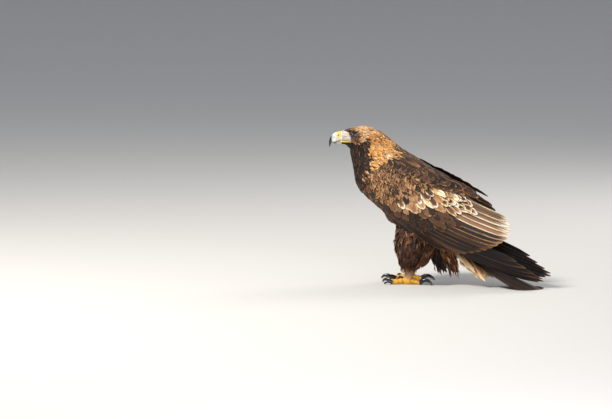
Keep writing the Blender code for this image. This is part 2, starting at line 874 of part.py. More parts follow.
def tail_axis(s):
    steps = 20
    start, end = math.radians(TAIL_PITCH), math.radians(TAIL_TIP_PITCH)
    x, z = TAIL_ROOT_X, TAIL_ROOT_Z
    step = s / steps
    for i in range(steps):
        pitch = start + (end - start) * (i + 0.5) * step / TAIL_LENGTH
        x += math.cos(pitch) * step
        z -= math.sin(pitch) * step
    return x, z, start + (end - start) * s / TAIL_LENGTH


def tail_point(s, v, height):
    """s runs from the root to the tip, v across the fan, and height above its upper face."""
    x, z, pitch = tail_axis(s)
    height -= TAIL_ROOF * v * v
    return Vector((x + height * math.sin(pitch), v, z + height * math.cos(pitch)))


def make_tail():
    """Twelve feathers, the middle ones on top, with the coverts that lie under their roots."""

    def core_point(share, v, height):
        return tail_point(TAIL_CORE * share, v, height - 0.002)

    tail = slab(
        "tail",
        core_point,
        3,
        4,
        lambda share: -0.024 - 0.016 * share,
        lambda share: 0.024 + 0.016 * share,
        lambda share, across: 0.020 - 0.004 * share,
    )
    pieces = []
    for i in range(TAIL_FEATHERS):
        side = 1 if i % 2 else -1
        rank = i // 2
        turn = side * TAIL_SPREAD * (rank + 0.5) / (TAIL_FEATHERS / 2 - 0.5)
        level = TAIL_TOP - TAIL_STEP * i
        length = TAIL_LENGTH - 0.0011 * rank * rank - TAIL_FEATHER_ROOT
        root = (TAIL_FEATHER_ROOT, side * 0.0022 * rank)
        tip = (root[0] + length, root[1] + length * math.tan(turn))
        profile = [
            (0.0, 0.018, level if i > 2 else level - 0.006 + 0.002 * i),
            (0.13, 0.024, level),
            (0.40, 0.032, level),
            (0.70, 0.036, level),
            (0.93, 0.032, level),
            (1.0, 0.016, level),
        ]
        pieces.append(feather(tail_point, root, tip, profile, thick=TAIL_THICK))
    low = TAIL_TOP - TAIL_STEP * TAIL_FEATHERS
    for start, length, count in UNDERTAIL_ROWS:
        for v in spread(-0.022, 0.022, count):
            profile = [
                (0.0, 0.015, low + 0.006),
                (0.30, 0.021, low - 0.0030),
                (0.72, 0.018, low - 0.0105),
                (1.0, 0.004, low - 0.0165),
            ]
            tip = (start + length, v * 1.6)
            pieces.append(feather(tail_point, (start, v), tip, profile))
    join_all(tail, pieces)
    low_z = min(v.co.z for v in tail.data.vertices)
    for v in tail.data.vertices:
        v.co.z -= low_z * min(1.0, (v.co.x - TAIL_ROOT_X) / 0.2)
    return tail


# The legs


def ellipse_ring(centre, half_x, half_y, sides):
    return [
        centre
        + Vector(
            (
                half_x * math.cos(2 * math.pi * k / sides),
                half_y * math.sin(2 * math.pi * k / sides),
                0,
            )
        )
        for k in range(sides)
    ]


def thigh_point(foot, height, angle, grow=0.0):
    """A point of the thigh's surface, at a height and an angle round it."""
    side = math.copysign(1, foot.y)
    rows = sorted(THIGH, key=lambda row: row[1])
    shift, half_x, half_y = (
        lerp_table([(row[1], row[k]) for row in rows], height) for k in (0, 2, 3)
    )
    inward = -side * 0.10 * max(0, height - 0.12)
    return Vector(
        (
            foot.x + shift + (half_x + grow) * math.cos(angle),
            foot.y + inward + (half_y + grow) * math.sin(angle),
            height,
        )
    )


def make_thigh_tube(name, foot, grow=0.0):
    sides = 14
    heights = spread(THIGH[0][1], THIGH[-1][1], 8)
    rings = [
        [thigh_point(foot, h, 2 * math.pi * k / sides, grow) for k in range(sides)]
        for h in heights
    ]
    return skin_tube(name, rings)


def make_thigh(name, foot):
    """The thigh with its trouser feathers, as tapered locks that hang down and back."""
    thigh = make_thigh_tube(name, foot)
    rng = random.Random(5)
    locks = []
    for row, (height, count, length) in enumerate(TROUSER_ROWS):
        for k in range(count):
            angle = 2 * math.pi * (k + 0.5 * (row % 2)) / count
            here = thigh_point(foot, height, angle)
            per_angle = (thigh_point(foot, height, angle + 0.05) - here).length / 0.05

            def point(down, around, out, height=height, angle=angle, per_angle=per_angle):
                return thigh_point(foot, height - down, angle + around / per_angle, out)

            reach = length * rng.uniform(0.9, 1.1)
            aside = rng.uniform(-0.002, 0.002)
            profile = lock_profile(per_angle * 2 * math.pi / count * LOCK_COVER)
            locks.append(feather(point, (0, 0), (reach, aside), profile))
    join_all(thigh, locks)
    return thigh


def make_shin(name, foot):
    rings = []
    top = SHIN_TOP - GAP
    for share, grow in ((0, 1.05), (0.5, 0.95), (1, 1.0)):
        height = top + (SHIN_FOOT - top) * share
        centre = Vector((foot.x + 0.002, foot.y, height))
        radius = SHIN_RADIUS * grow
        rings.append(ellipse_ring(centre, radius * 1.05, radius, 14))
    return skin_tube(name, rings)


def toe_direction(turn, angle, side):
    a = math.radians(turn + angle * -side)
    return Vector((-math.cos(a), math.sin(a), 0))


def toe_tube(name, start, direction, length, radius):
    """A toe with a swelling at each joint, flat underneath."""
    across = Vector((-direction.y, direction.x, 0))
    rings = []
    stations = 7
    sides = 7
    for i in range(stations):
        share = i / (stations - 1)
        swell = 1.0 + 0.10 * math.cos(share * 3 * 2 * math.pi)
        r = radius * swell * (1.0 - 0.22 * share)
        height = r * 0.86 + 0.004 * (1 - share) ** 2
        centre = start + direction * length * share + Vector((0, 0, height))
        ring = []
        for k in range(sides):
            angle = 2 * math.pi * (k + 0.5) / sides
            p = centre + across * r * math.cos(angle) + Vector((0, 0, r * math.sin(angle)))
            p.z = max(p.z, FLAT)
            ring.append(p)
        rings.append(ring)
    return skin_tube(name, rings), rings[-1], across


def claw_tube(name, end_ring, direction, length, radius):
    """A claw that arches up from the toe's end and comes down to its point just over the floor."""
    base = sum(end_ring, Vector()) / len(end_ring) + direction * GAP
    across = Vector((-direction.y, direction.x, 0))
    bend_radius = length / CLAW_TURN
    start_angle = math.radians(20)
    while base.z + bend_radius * (math.cos(start_angle - CLAW_TURN) - math.cos(start_angle)) < 0.001:
        start_angle += math.radians(0.5)
    rings = []
    stations = 6
    sides = 6
    for i in range(stations):
        share = i / (stations - 1)
        angle = start_angle - CLAW_TURN * share
        forward = bend_radius * (math.sin(start_angle) - math.sin(angle))
        height = bend_radius * (math.cos(angle) - math.cos(start_angle))
        tilt = angle if i else 0.0
        r = radius * 0.82 * (1 - share) ** 0.75 + 0.0006
        centre = base + direction * forward + Vector((0, 0, height))
        normal = Vector((0, 0, math.cos(tilt))) - direction * math.sin(tilt)
        ring = []
        for k in range(sides):
            a = 2 * math.pi * k / sides
            ring.append(centre + across * r * 0.8 * math.cos(a) + normal * r * math.sin(a))
        rings.append(ring)
    return skin_tube(name, rings)


def make_foot(word, foot):
    side = math.copysign(1, foot.y)
    pad_rings = []
    for height, grow in ((SHIN_FOOT - GAP, 1.0), (0.016, 1.25), (0.008, 1.4), (FLAT, 1.2)):
        pad_rings.append(
            ellipse_ring(Vector((foot.x, foot.y, height)), 0.0135 * grow, 0.0125 * grow, 12)
        )
    body = skin_tube("foot_" + word, pad_rings)
    claws = []
    for toe, angle, length, radius, claw in TOES:
        direction = toe_direction(FOOT_TURN[word], angle, side)
        start = Vector((foot.x, foot.y, 0)) + direction * 0.006
        tube, end_ring, _ = toe_tube("toe", start, direction, length, radius)
        apply_boolean(body, tube, "UNION")
        claws.append(claw_tube(f"claw_{word}_{toe}", end_ring, direction, claw, radius * 0.8))
    keep_largest(body)
    return body, claws


def recentre(objects):
    """Moves everything so that the origin is the middle of the box's bottom."""
    bpy.context.view_layer.update()
    low = Vector((1e9, 1e9, 1e9))
    high = -low
    for obj in objects:
        for v in obj.data.vertices:
            low = Vector(map(min, low, v.co))
            high = Vector(map(max, high, v.co))
    shift = Vector((-(low.x + high.x) / 2, -(low.y + high.y) / 2, 0))
    for obj in objects:
        for v in obj.data.vertices:
            v.co += shift


def inflated_torso():
    """The torso grown by the gap, to cut what lies against it."""
    rings = trunk_rings(0, NECK_STARTS, SPAN_SIDES, TORSO_STEP, grow=GAP)
    shrink_end(rings, 0, 1, -GAP)
    return skin_tube("cutter", rings)


def inflated_neck():
    rings = trunk_rings(NECK_STARTS, HEAD_STARTS, NECK_SIDES, NECK_STEP, grow=GAP)
    shrink_end(rings, 0, 1, -GAP)
    return skin_tube("cutter", rings)


def build():
    for obj in list(bpy.data.objects):
        bpy.data.objects.remove(obj)
    made = []

    torso = make_torso()
    neck = make_neck()
    head = make_head()
    for side in (-1, 1):
        place = eye_place(side)
        apply_boolean(head, make_lid(side), "UNION")
        apply_boolean(head, ball("socket", place, EYE_RADIUS + GAP), "DIFFERENCE")
        eye = ball("eye_" + ("right" if side > 0 else "left"), place, EYE_RADIUS)
        paint(eye, "eye", (0.12, 0.05, 0.015), 0.1)
        made.append(eye)
    for side in (-1, 1):
        apply_boolean(head, make_gape(side, GAP), "DIFFERENCE")
        gape = make_gape(side)
        paint(gape, "cere", (0.75, 0.52, 0.06), 0.45)
        made.append(gape)
    keep_largest(head)
    paint(torso, "torso", PLUMAGE["dark"], 0.8)
    paint(neck, "neck", PLUMAGE["golden"], 0.8)
    paint(head, "head", PLUMAGE["brown"], 0.8)
    made += [torso, neck, head]

    cere = bill_tube("cere", CERE_RINGS)
    for side in (-1, 1):
        apply_boolean(cere, make_nostril(side), "DIFFERENCE")
    horn = bill_tube("bill_upper", HORN_RINGS)
    jaw = bill_tube("bill_lower", JAW_RINGS)
    paint(cere, "cere", (0.75, 0.52, 0.06), 0.45)
    paint(horn, "bill", (0.10, 0.11, 0.13), 0.3)
    paint(jaw, "bill", (0.10, 0.11, 0.13), 0.3)
    made += [cere, horn, jaw]

    for word, foot in (("left", LEFT_FOOT), ("right", RIGHT_FOOT)):
        thigh = make_thigh("thigh_" + word, foot)
        apply_boolean(thigh, inflated_torso(), "DIFFERENCE")
        keep_largest(thigh)
        shin = make_shin("shin_" + word, foot)
        foot_obj, claws = make_foot(word, foot)
        paint(thigh, "thigh", PLUMAGE["brown"], 0.8)
        paint(shin, "shin", PLUMAGE["buff"], 0.8)
        paint(foot_obj, "toes", (0.78, 0.50, 0.03), 0.5)
        for claw in claws:
            paint(claw, "claw", (0.012, 0.012, 0.014), 0.25)
        made += [thigh, shin, foot_obj, *claws]

    tail = make_tail()
    apply_boolean(tail, inflated_torso(), "DIFFERENCE")
    keep_largest(tail)
    paint(tail, "tail", PLUMAGE["dark"], 0.75)
    made.append(tail)

    for side in (-1, 1):
        wing = make_wing(side)
        apply_boolean(wing, inflated_torso(), "DIFFERENCE", "MANIFOLD")
        apply_boolean(wing, inflated_neck(), "DIFFERENCE", "MANIFOLD")
        foot = RIGHT_FOOT if side > 0 else LEFT_FOOT
        cutter = make_thigh_tube("cutter", foot, LOCK_ROOM)
        apply_boolean(wing, cutter, "DIFFERENCE", "MANIFOLD")
        keep_largest(wing)
        paint(wing, "wing", PLUMAGE["tan"], 0.75)
        made.append(wing)

    recentre(made)
    for obj in made:
        obj.data.shade_smooth()


build()
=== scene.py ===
"""The looks of a golden eagle standing on a level floor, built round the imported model.

The bird faces -X and its left side is towards -Y. Lengths are in metres and angles in degrees.
Places are given in the bird's own frame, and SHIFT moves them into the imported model's.
"""

import math

import bpy
import numpy as np
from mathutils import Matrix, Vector, kdtree


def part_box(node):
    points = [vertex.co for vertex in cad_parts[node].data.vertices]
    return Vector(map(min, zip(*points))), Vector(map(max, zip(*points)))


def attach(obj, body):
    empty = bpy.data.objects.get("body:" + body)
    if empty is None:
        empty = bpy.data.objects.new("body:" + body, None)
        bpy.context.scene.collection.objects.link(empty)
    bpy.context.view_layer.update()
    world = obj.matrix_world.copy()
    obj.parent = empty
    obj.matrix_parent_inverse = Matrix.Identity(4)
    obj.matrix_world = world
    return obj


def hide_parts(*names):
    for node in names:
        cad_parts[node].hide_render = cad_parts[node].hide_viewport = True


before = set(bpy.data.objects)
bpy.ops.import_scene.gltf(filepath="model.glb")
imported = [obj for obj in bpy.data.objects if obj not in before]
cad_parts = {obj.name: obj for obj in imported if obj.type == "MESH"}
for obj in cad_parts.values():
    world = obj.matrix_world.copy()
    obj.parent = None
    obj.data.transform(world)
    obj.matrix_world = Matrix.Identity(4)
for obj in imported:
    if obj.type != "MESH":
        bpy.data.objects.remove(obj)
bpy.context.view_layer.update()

# Trunk, neck and head: x, y, z of the centre, pitch and yaw of the axis, reach up and down, half width.
TRUNK = [
    (0.236, 0.000, 0.098, 26, 0, 0.014, 0.014, 0.016),
    (0.158, 0.000, 0.140, 30, 0, 0.022, 0.020, 0.022),
    (0.140, 0.000, 0.152, 32, 0, 0.062, 0.036, 0.040),
    (0.095, 0.000, 0.185, 36, 0, 0.112, 0.060, 0.060),
    (0.036, 0.000, 0.233, 39, 0, 0.128, 0.078, 0.074),
    (-0.022, 0.000, 0.279, 40, 0, 0.121, 0.086, 0.080),
    (-0.078, 0.000, 0.324, 42, 0, 0.107, 0.092, 0.080),
    (-0.113, 0.000, 0.358, 50, 0, 0.096, 0.092, 0.073),
    (-0.134, -0.003, 0.390, 58, 4, 0.085, 0.074, 0.062),
    (-0.148, -0.011, 0.426, 64, 11, 0.068, 0.062, 0.050),
    (-0.162, -0.026, 0.450, 58, 19, 0.056, 0.050, 0.042),
]
FIRST_STATION = -1
HEAD_STARTS, BILL_STATION = 8.7, 13.0

# The head's own frame: forward, up, and out to either side.
HEAD_YAW = math.radians(25)
HEAD_CENTRE = np.array((-0.154, -0.025, 0.456))
HEAD_AHEAD = np.array((-math.cos(HEAD_YAW), -math.sin(HEAD_YAW), 0.0))
HEAD_RIGHT = np.array((-math.sin(HEAD_YAW), math.cos(HEAD_YAW), 0.0))
HEAD_STATIONS = [
    (0.0290, 0.0080, 42, 0.0440, 0.0430, 0.0370),
    (0.0500, 0.0085, 28, 0.0310, 0.0300, 0.0300),
    (0.0690, 0.0068, 12, 0.0236, 0.0230, 0.0205),
    (0.0816, 0.0058, 0, 0.0200, 0.0210, 0.0148),
]
# Brow, eye hollow and cheek: forward, up, out, length, height, and how far it stands out.
HEAD_RELIEF = [
    (0.056, 0.0262, 0.021, 0.0110, 0.0038, 0.0046),
    (0.042, 0.0262, 0.027, 0.0100, 0.0040, 0.0040),
    (0.046, 0.0160, 0.027, 0.0100, 0.0070, -0.0040),
    (0.066, 0.0110, 0.018, 0.0100, 0.0080, -0.0020),
    (0.034, -0.0080, 0.034, 0.0140, 0.0120, 0.0018),
]
EYE = (0.0445, 0.0160, 0.0212)
EYE_RADIUS, EYE_SUNK, IRIS_RADIUS = 0.0098, 0.0022, 0.0072
BROW_RISE = 0.43

# Bill rings: forward and up of the ridge, forward and up of the cutting edge, half width.
CERE_RINGS = [
    (-0.0030, 0.0244, -0.0030, -0.0052, 0.0130),
    (0.0000, 0.0246, 0.0000, -0.0058, 0.0128),
    (0.0060, 0.0240, 0.0065, -0.0072, 0.0120),
    (0.0125, 0.0222, 0.0120, -0.0084, 0.0108),
]
HORN_RINGS = [
    (0.0128, 0.0220, 0.0123, -0.0084, 0.0106),
    (0.0205, 0.0190, 0.0178, -0.0098, 0.0096),
    (0.0272, 0.0130, 0.0226, -0.0104, 0.0082),
    (0.0325, 0.0050, 0.0262, -0.0108, 0.0066),
    (0.0358, -0.0040, 0.0288, -0.0120, 0.0050),
    (0.0370, -0.0130, 0.0308, -0.0155, 0.0034),
    (0.0364, -0.0205, 0.0326, -0.0212, 0.0018),
    (0.0352, -0.0262, 0.0345, -0.0266, 0.0005),
]
JAW_RINGS = [
    (-0.0040, -0.0144, -0.0040, -0.0058, 0.0108),
    (0.0095, -0.0156, 0.0100, -0.0084, 0.0090),
    (0.0170, -0.0154, 0.0175, -0.0102, 0.0066),
    (0.0222, -0.0136, 0.0226, -0.0110, 0.0030),
]
BILL_BASE = 0.0819
BILL_OUTLINE = [
    (0.00, 0.70),
    (0.10, 1.00),
    (0.32, 0.97),
    (0.55, 0.84),
    (0.75, 0.63),
    (0.91, 0.34),
    (1.00, 0.00),
]
NOSTRIL = (0.0068, 0.0120)
# The lip from the cere to below the eye: start, length, how far out it starts, spread and radius.
GAPE_START, GAPE_LENGTH = 0.0006, 0.0350
GAPE_OUT, GAPE_SPREAD, GAPE_RADIUS = 0.0128, 0.0150, 0.0021

# The folded wing, drawn flat: s along it from the wrist and t across it, on a rounded shell.
WING_LENGTH = 0.625
WING_LAY = {
    -1: (-0.103, 0.278, 34.5, 11.5, 0.05),
    1: (-0.106, 0.277, 35.0, 8.5, 0.05),
}
SHELL_CENTRE, SHELL_REACH = 0.060, 0.125
SHELL_DROP = [(-0.05, 0.64), (0.14, 0.66), (0.30, 0.78), (0.64, 0.80)]
SHELL_HALF_WIDTH = [
    (-0.05, 0.082),
    (0.00, 0.102),
    (0.05, 0.113),
    (0.15, 0.115),
    (0.25, 0.107),
    (0.35, 0.092),
    (0.45, 0.074),
    (0.55, 0.058),
    (0.64, 0.047),
]
LOWER_EDGE = [
    (-0.046, 0.040),
    (-0.018, 0.012),
    (0.011, -0.003),
    (0.073, -0.016),
    (0.120, -0.027),
    (0.170, -0.030),
    (0.227, -0.020),
    (0.286, -0.003),
    (0.337, 0.008),
    (0.400, 0.009),
]
UPPER_EDGE = {
    -1: [
        (-0.046, 0.072),
        (-0.030, 0.117),
        (0.048, 0.156),
        (0.127, 0.178),
        (0.196, 0.184),
        (0.263, 0.187),
        (0.355, 0.182),
        (0.410, 0.166),
    ],
    1: [
        (-0.046, 0.072),
        (-0.030, 0.117),
        (0.048, 0.160),
        (0.127, 0.180),
        (0.196, 0.184),
        (0.255, 0.180),
        (0.305, 0.166),
        (0.345, 0.142),
    ],
}
ARM_END = {-1: 0.335, 1: 0.295}
ARM_START, ARM_DEPTH, ARM_MARGIN = -0.044, 0.0050, 0.006
QUILL_FROM, QUILL_SLOPE = (0.090, -0.010), 0.7586
SECONDARY_TIPS = {
    -1: [0.344, 0.380, 0.410, 0.434, 0.452, 0.462, 0.454, 0.428],
    1: [0.344, 0.380, 0.402, 0.410, 0.404, 0.386, 0.360, 0.334],
}
SECONDARIES = 13
SECONDARY_T = (-0.012, 0.154)
TERTIAL_ROOT = 0.238
PRIMARY_ROOT = (0.262, -0.003)
PRIMARY_TIPS = [
    (0.612, -0.009),
    (0.625, -0.002),
    (0.618, 0.007),
    (0.590, 0.017),
    (0.556, 0.029),
    (0.520, 0.043),
]

# The tail
TAIL_ROOT = (0.150, 0.150)
TAIL_PITCH, TAIL_TIP_PITCH = 37.0, 16.0
TAIL_LENGTH = 0.335
TAIL_SPREAD = 10.0
TAIL_FEATHERS = 12
TAIL_FEATHER_ROOT = 0.050
TAIL_STEP, TAIL_TOP, TAIL_ROOF = 0.0011, -0.0040, 0.9

# Legs: the ball of each foot, its turn, and thigh stations of shift, height, half length, half width.
FEET = {"left": (0.008, -0.056), "right": (-0.036, 0.056)}
FOOT_TURN = {"left": 6.0, "right": -8.0}
THIGH = [
    (0.022, 0.225, 0.040, 0.018),
    (0.020, 0.185, 0.052, 0.027),
    (0.018, 0.150, 0.055, 0.032),
    (0.017, 0.118, 0.053, 0.034),
    (0.014, 0.090, 0.042, 0.029),
    (0.006, 0.066, 0.026, 0.021),
    (0.002, 0.054, 0.0165, 0.0150),
]
SHIN_TOP, SHIN_FOOT, SHIN_RADIUS = 0.070, 0.0205, 0.0118
TOES = [
    ("middle", 0, 0.058, 0.0080, 0.036),
    ("inner", 38, 0.044, 0.0085, 0.044),
    ("outer", -42, 0.046, 0.0075, 0.030),
    ("hind", 176, 0.036, 0.0090, 0.050),
]
# Toes: length of the ball, taper, swelling at the joints, and depth and spacing of the plates.
TOE_BALL, TOE_TAPER, TOE_SWELL, TOE_JOINTS = 0.006, 0.22, 0.10, 3
PLATE_DEPTH, PLATE_APART = 0.075, 0.0046
# Claws: how far they turn, the pitch they start at, how deep they sit, and how far over the floor they end.
CLAW_TURN, CLAW_PITCH = math.radians(105), math.radians(20)
CLAW_SUNK, CLAW_CLEAR = 0.0040, 0.001

# Camera, in the photograph's frame of pixels
VIEW_TURN, VIEW_RISE = math.radians(25), math.radians(6)
METRES_PER_PIXEL = 0.0032
FRAME_WIDTH, FRAME_HEIGHT = 612, 419
ORIGIN_PIXEL = (413, 282)
CAMERA_DISTANCE, SENSOR_WIDTH, SIGHT_END = 15.0, 36.0, 100.0

# Lamps: place, size, power and colour.
LAMPS = {
    "key": ((-2.2, -2.3, 3.8), 1.2, 330, (1.0, 0.95, 0.87)),
    "fill": ((1.8, -3.4, 1.3), 2.6, 60, (0.96, 0.97, 1.0)),
    "rim": ((0.6, 3.0, 2.6), 1.8, 60, (1.0, 0.97, 0.92)),
}
LAMPS_AIM = (0, 0, 0.25)
SKY_COLOUR, SKY_STRENGTH = (0.86, 0.91, 1.0, 1), 0.62
# The floor: how far it is flat, how round it turns up, how far it rises after that, and its sides.
FLOOR_FLAT, FLOOR_CURVE, FLOOR_WALL, FLOOR_SIDES = 20.0, 8.0, 6.0, 96

PALETTE = {
    "black": (20, 17, 17),
    "soot": (33, 25, 21),
    "chocolate": (50, 34, 25),
    "umber": (80, 55, 38),
    "brown": (108, 74, 48),
    "tan": (156, 114, 76),
    "sand": (194, 153, 108),
    "cream": (226, 197, 156),
    "white": (242, 228, 204),
    "gold": (200, 138, 62),
    "amber": (158, 98, 42),
    "rust": (148, 84, 42),
    "grey": (196, 188, 182),
}
# Bare parts and the floor, in linear light
BARE_COLOURS = {
    "horn": (0.56, 0.56, 0.54),
    "bone": (0.46, 0.45, 0.35),
    "slate": (0.25, 0.31, 0.40),
    "hook": (0.012, 0.012, 0.015),
    "jaw_tip": (0.03, 0.03, 0.035),
    "nostril": (0.01, 0.008, 0.005),
    "cere": (0.62, 0.40, 0.035),
    "toe": (0.78, 0.38, 0.014),
    # Painted shade: the inside of the nostril hole, near black.
    "claw": (0.010, 0.010, 0.012),
    "iris_dark": (0.035, 0.013, 0.004),
    "iris_light": (0.13, 0.050, 0.014),
    "pupil": (0.002, 0.002, 0.002),
    "eye_rim": (0.010, 0.006, 0.004),
    "floor": (0.50, 0.49, 0.475),
}
# Colour mixes: how large a share of the feathers has each colour.
MIXES = {
    "golden": {"gold": 36, "amber": 24, "sand": 16, "brown": 13, "umber": 11},
    "crown": {"sand": 48, "cream": 12, "tan": 26, "brown": 14},
    "front": {"brown": 45, "tan": 25, "umber": 30},
    "cheek": {"umber": 38, "brown": 34, "chocolate": 18, "tan": 10},
    "ear": {"tan": 50, "brown": 30, "sand": 20},
    "throat": {"black": 30, "soot": 45, "chocolate": 25},
    "lores": {"grey": 60, "white": 25, "tan": 15},
    "neck": {"black": 25, "soot": 35, "chocolate": 28, "umber": 12},
    "neck_foot": {"soot": 28, "chocolate": 34, "umber": 24, "tan": 14},
    "mantle": {"soot": 30, "chocolate": 38, "umber": 22, "brown": 10},
    "breast": {"soot": 12, "chocolate": 24, "umber": 34, "brown": 30},
    "vent": {"black": 15, "soot": 35, "chocolate": 35, "umber": 15},
    "vent_rear": {"rust": 35, "amber": 20, "umber": 25, "sand": 20},
    "thigh": {"black": 8, "soot": 28, "chocolate": 32, "umber": 22, "brown": 10},
    "lesser": {"soot": 22, "chocolate": 16, "umber": 14, "brown": 24, "tan": 24},
    "lesser_edge": {"brown": 20, "tan": 46, "sand": 34},
    "median": {"chocolate": 14, "umber": 14, "brown": 28, "tan": 32, "sand": 12},
    "median_edge": {"tan": 30, "sand": 42, "cream": 28},
    "greater": {"soot": 20, "chocolate": 40, "umber": 26, "brown": 14},
    "greater_edge": {"brown": 50, "tan": 50},
    "inner": {"chocolate": 16, "umber": 24, "brown": 26, "tan": 18, "cream": 16},
    "inner_edge": {"cream": 40, "white": 38, "sand": 22},
    "scapular": {"black": 18, "soot": 34, "chocolate": 32, "umber": 16},
    "scapular_edge": {"umber": 25, "brown": 40, "tan": 35},
    "deep": {"soot": 34, "chocolate": 42, "umber": 24},
    "secondary": {"soot": 25, "chocolate": 35, "umber": 25, "brown": 15},
    "secondary_edge": {"brown": 60, "tan": 40},
    "primary_edge": {"umber": 50, "brown": 50},
    "hand": {"soot": 50, "chocolate": 50},
    "hand_edge": {"umber": 40, "brown": 60},
    "tail": {"black": 30, "soot": 45, "chocolate": 25},
    "undertail": {"rust": 26, "amber": 14, "sand": 28, "cream": 20, "umber": 12},
    "undertail_edge": {"cream": 60, "sand": 40},
}

# Belly tuft behind the legs: its top and foot, place along the body, lean, half widths, and how much
# narrower it gets.
VENT_TOP, VENT_FOOT = 0.160, 0.072
VENT_PLACE, VENT_LEAN = 0.078, 0.034
VENT_HALF, VENT_NARROWS = (0.052, 0.044), (0.018, 0.020)

# Feather forms: columns, rows, how far the sides fall behind the tip, widths along it, camber, thickness.
FORMS = {
    "body": (4, 7, 0.22, (0.35, 0.80, 1.00, 0.96, 0.74), 0.10, 0.0004),
    "hackle": (2, 7, 0.12, (0.50, 0.95, 0.90, 0.66, 0.16), 0.16, 0.0004),
    "face": (2, 4, 0.12, (0.60, 0.95, 1.00, 0.76, 0.24), 0.14, 0.0003),
    "lock": (2, 8, 0.22, (0.50, 0.90, 0.85, 0.60, 0.06), 0.16, 0.0004),
    "pointed": (4, 7, 0.30, (0.42, 0.88, 1.00, 0.82, 0.40), 0.09, 0.0004),
    "covert": (6, 8, 0.20, (0.40, 0.85, 1.00, 0.98, 0.80), 0.07, 0.0005),
    "quill": (8, 20, 0.04, (0.55, 0.95, 1.00, 0.95, 0.62), 0.02, 0.0006),
    "primary": (8, 22, 0.03, (0.60, 0.95, 1.00, 0.84, 0.30), 0.02, 0.0006),
}
FORM_SHARES = (0.0, 0.25, 0.60, 0.86, 1.0)
TUFT_PATCH = 0.003
# The lowest a loose feather hangs over the floor.
FLOOR_CLEAR = 0.0012

# How deep feathers are rooted, how high their tips stand, and how unevenly.
BODY_STAND, NECK_STAND = (-0.0062, 0.0016, 0.0004), (-0.0022, 0.0038, 0.0006)
THIGH_STAND, VENT_STAND, SHIN_STAND = (-0.0030, 0.0056, 0.0012), (-0.003, 0.004), (-0.0015, 0.0012)
HEAD_SINK, HEAD_UNEVEN, COVERT_SINK, COVERT_UNEVEN = -0.0030, 0.00025, -0.0075, 0.0004

# What changes along the trunk: stations, then values.
HEAD_SPACING = ((8.9, 10.5, 13.0), (0.0038, 0.0030, 0.0021))
# Coats of the trunk: form, first and last station, and spacing of the feathers along and across.
TRUNK_COATS = {
    "body": ("body", (6.7, -0.55), ((0,), (0.0105,)), ((0,), (0.0120,))),
    "neck": ("hackle", (9.3, 6.15), ((0,), (0.0056,)), ((0,), (0.0037,))),
    "head": ("face", (12.98, 8.9), HEAD_SPACING, HEAD_SPACING),
}
BODY_SHRINK = ((-0.5, 1.0, 5.5, 6.7), (0.9, 1.15, 1.0, 0.75))
WING_MARGIN = ((2.5, 4.5), (0.055, 0.014))
NECK_LENGTH = ((6.2, 7.2, 8.4, 9.3), (0.046, 0.043, 0.036, 0.025))
NECK_WIDTH = ((6.2, 9.3), (0.0070, 0.0044))
# How far the hackles of the neck's sides lean towards the back, in radians.
HACKLE_LEAN = 0.42
HEAD_LEAN = ((8.9, 10.6), (HACKLE_LEAN, 0.0))
HEAD_LENGTH = ((8.9, 10.5, 12.0, 13.0), (0.023, 0.016, 0.0100, 0.0065))
HEAD_SLENDER = ((8.9, 10.5, 13.0), (0.22, 0.28, 0.36))
HEAD_RISE = ((8.9, 11.0, 13.0), (0.0018, 0.0011, 0.0004))
LORES_LENGTH, LORES_WIDTH = 0.0052, 0.0008
SKIN_INSET = ((0, 6.2, 7.0, 8.8, 11.5, 13), (0.006, 0.006, 0.002, 0.003, 0.0022, 0.0008))
# The same for the thighs, by height over the floor.
THIGH_SPAN, THIGH_ALONG, THIGH_ACROSS = (0.222, 0.052), 0.0068, 0.0056
THIGH_LENGTH = ((0.05, 0.08, 0.13, 0.22), (0.020, 0.040, 0.054, 0.046))
THIGH_WIDTH = ((0.05, 0.10, 0.22), (0.0055, 0.0080, 0.0110))

# Covert tracts: the ends of the first row and of the last one, then rows, lengths, widths, turns in
# degrees, spacing across, and how high the tips stand.
COVERT_TRACTS = {
    "marginal": (
        ((-0.050, 0.048), (-0.036, 0.112)),
        ((-0.034, 0.034), (0.004, 0.146)),
        (5, (0.021, 0.030), (0.0095, 0.0125), (-38, -32), 0.0058, 0.0010),
    ),
    "lesser": (
        ((-0.030, 0.032), (0.012, 0.146)),
        ((0.008, 0.012), (0.122, 0.160)),
        (9, (0.031, 0.047), (0.0130, 0.0185), (-33, -27), 0.0082, 0.0014),
    ),
    "median": (
        ((0.020, 0.006), (0.146, 0.158)),
        ((0.046, -0.003), (0.200, 0.142)),
        (3, (0.054, 0.064), (0.0260, 0.0290), (-26, -20), 0.0155, 0.0014),
    ),
    "greater": (
        ((0.055, -0.006), (0.200, 0.116)),
        ((0.066, -0.009), (0.214, 0.114)),
        (2, (0.088, 0.104), (0.0240, 0.0250), (-14, -13), 0.0150, 0.0022),
    ),
    "inner": (
        ((0.150, 0.150), (0.240, 0.166)),
        ((0.196, 0.128), (0.268, 0.148)),
        (4, (0.056, 0.080), (0.0200, 0.0230), (-17, -12), 0.0140, 0.0032),
    ),
    "scapular": (
        ((-0.034, 0.126), (0.110, 0.178)),
        ((0.000, 0.150), (0.212, 0.188)),
        (6, (0.044, 0.092), (0.0210, 0.0270), (-14, -8), 0.0135, 0.0040),
    ),
}
# How much of each covert its pale fringe takes, at least and at most, and where it is always the same.
PLAIN_FRINGE = 0.28
FRINGES = {
    "lesser": (0.25, 0.60),
    "median": (0.22, 0.70),
    "inner": (0.40, 0.70),
    "scapular": (0.16, 0.40),
}
# Below this line of the wing the coverts are long and dark.
DARK_LINE = ((0.070, 0.005), (0.250, 0.105))

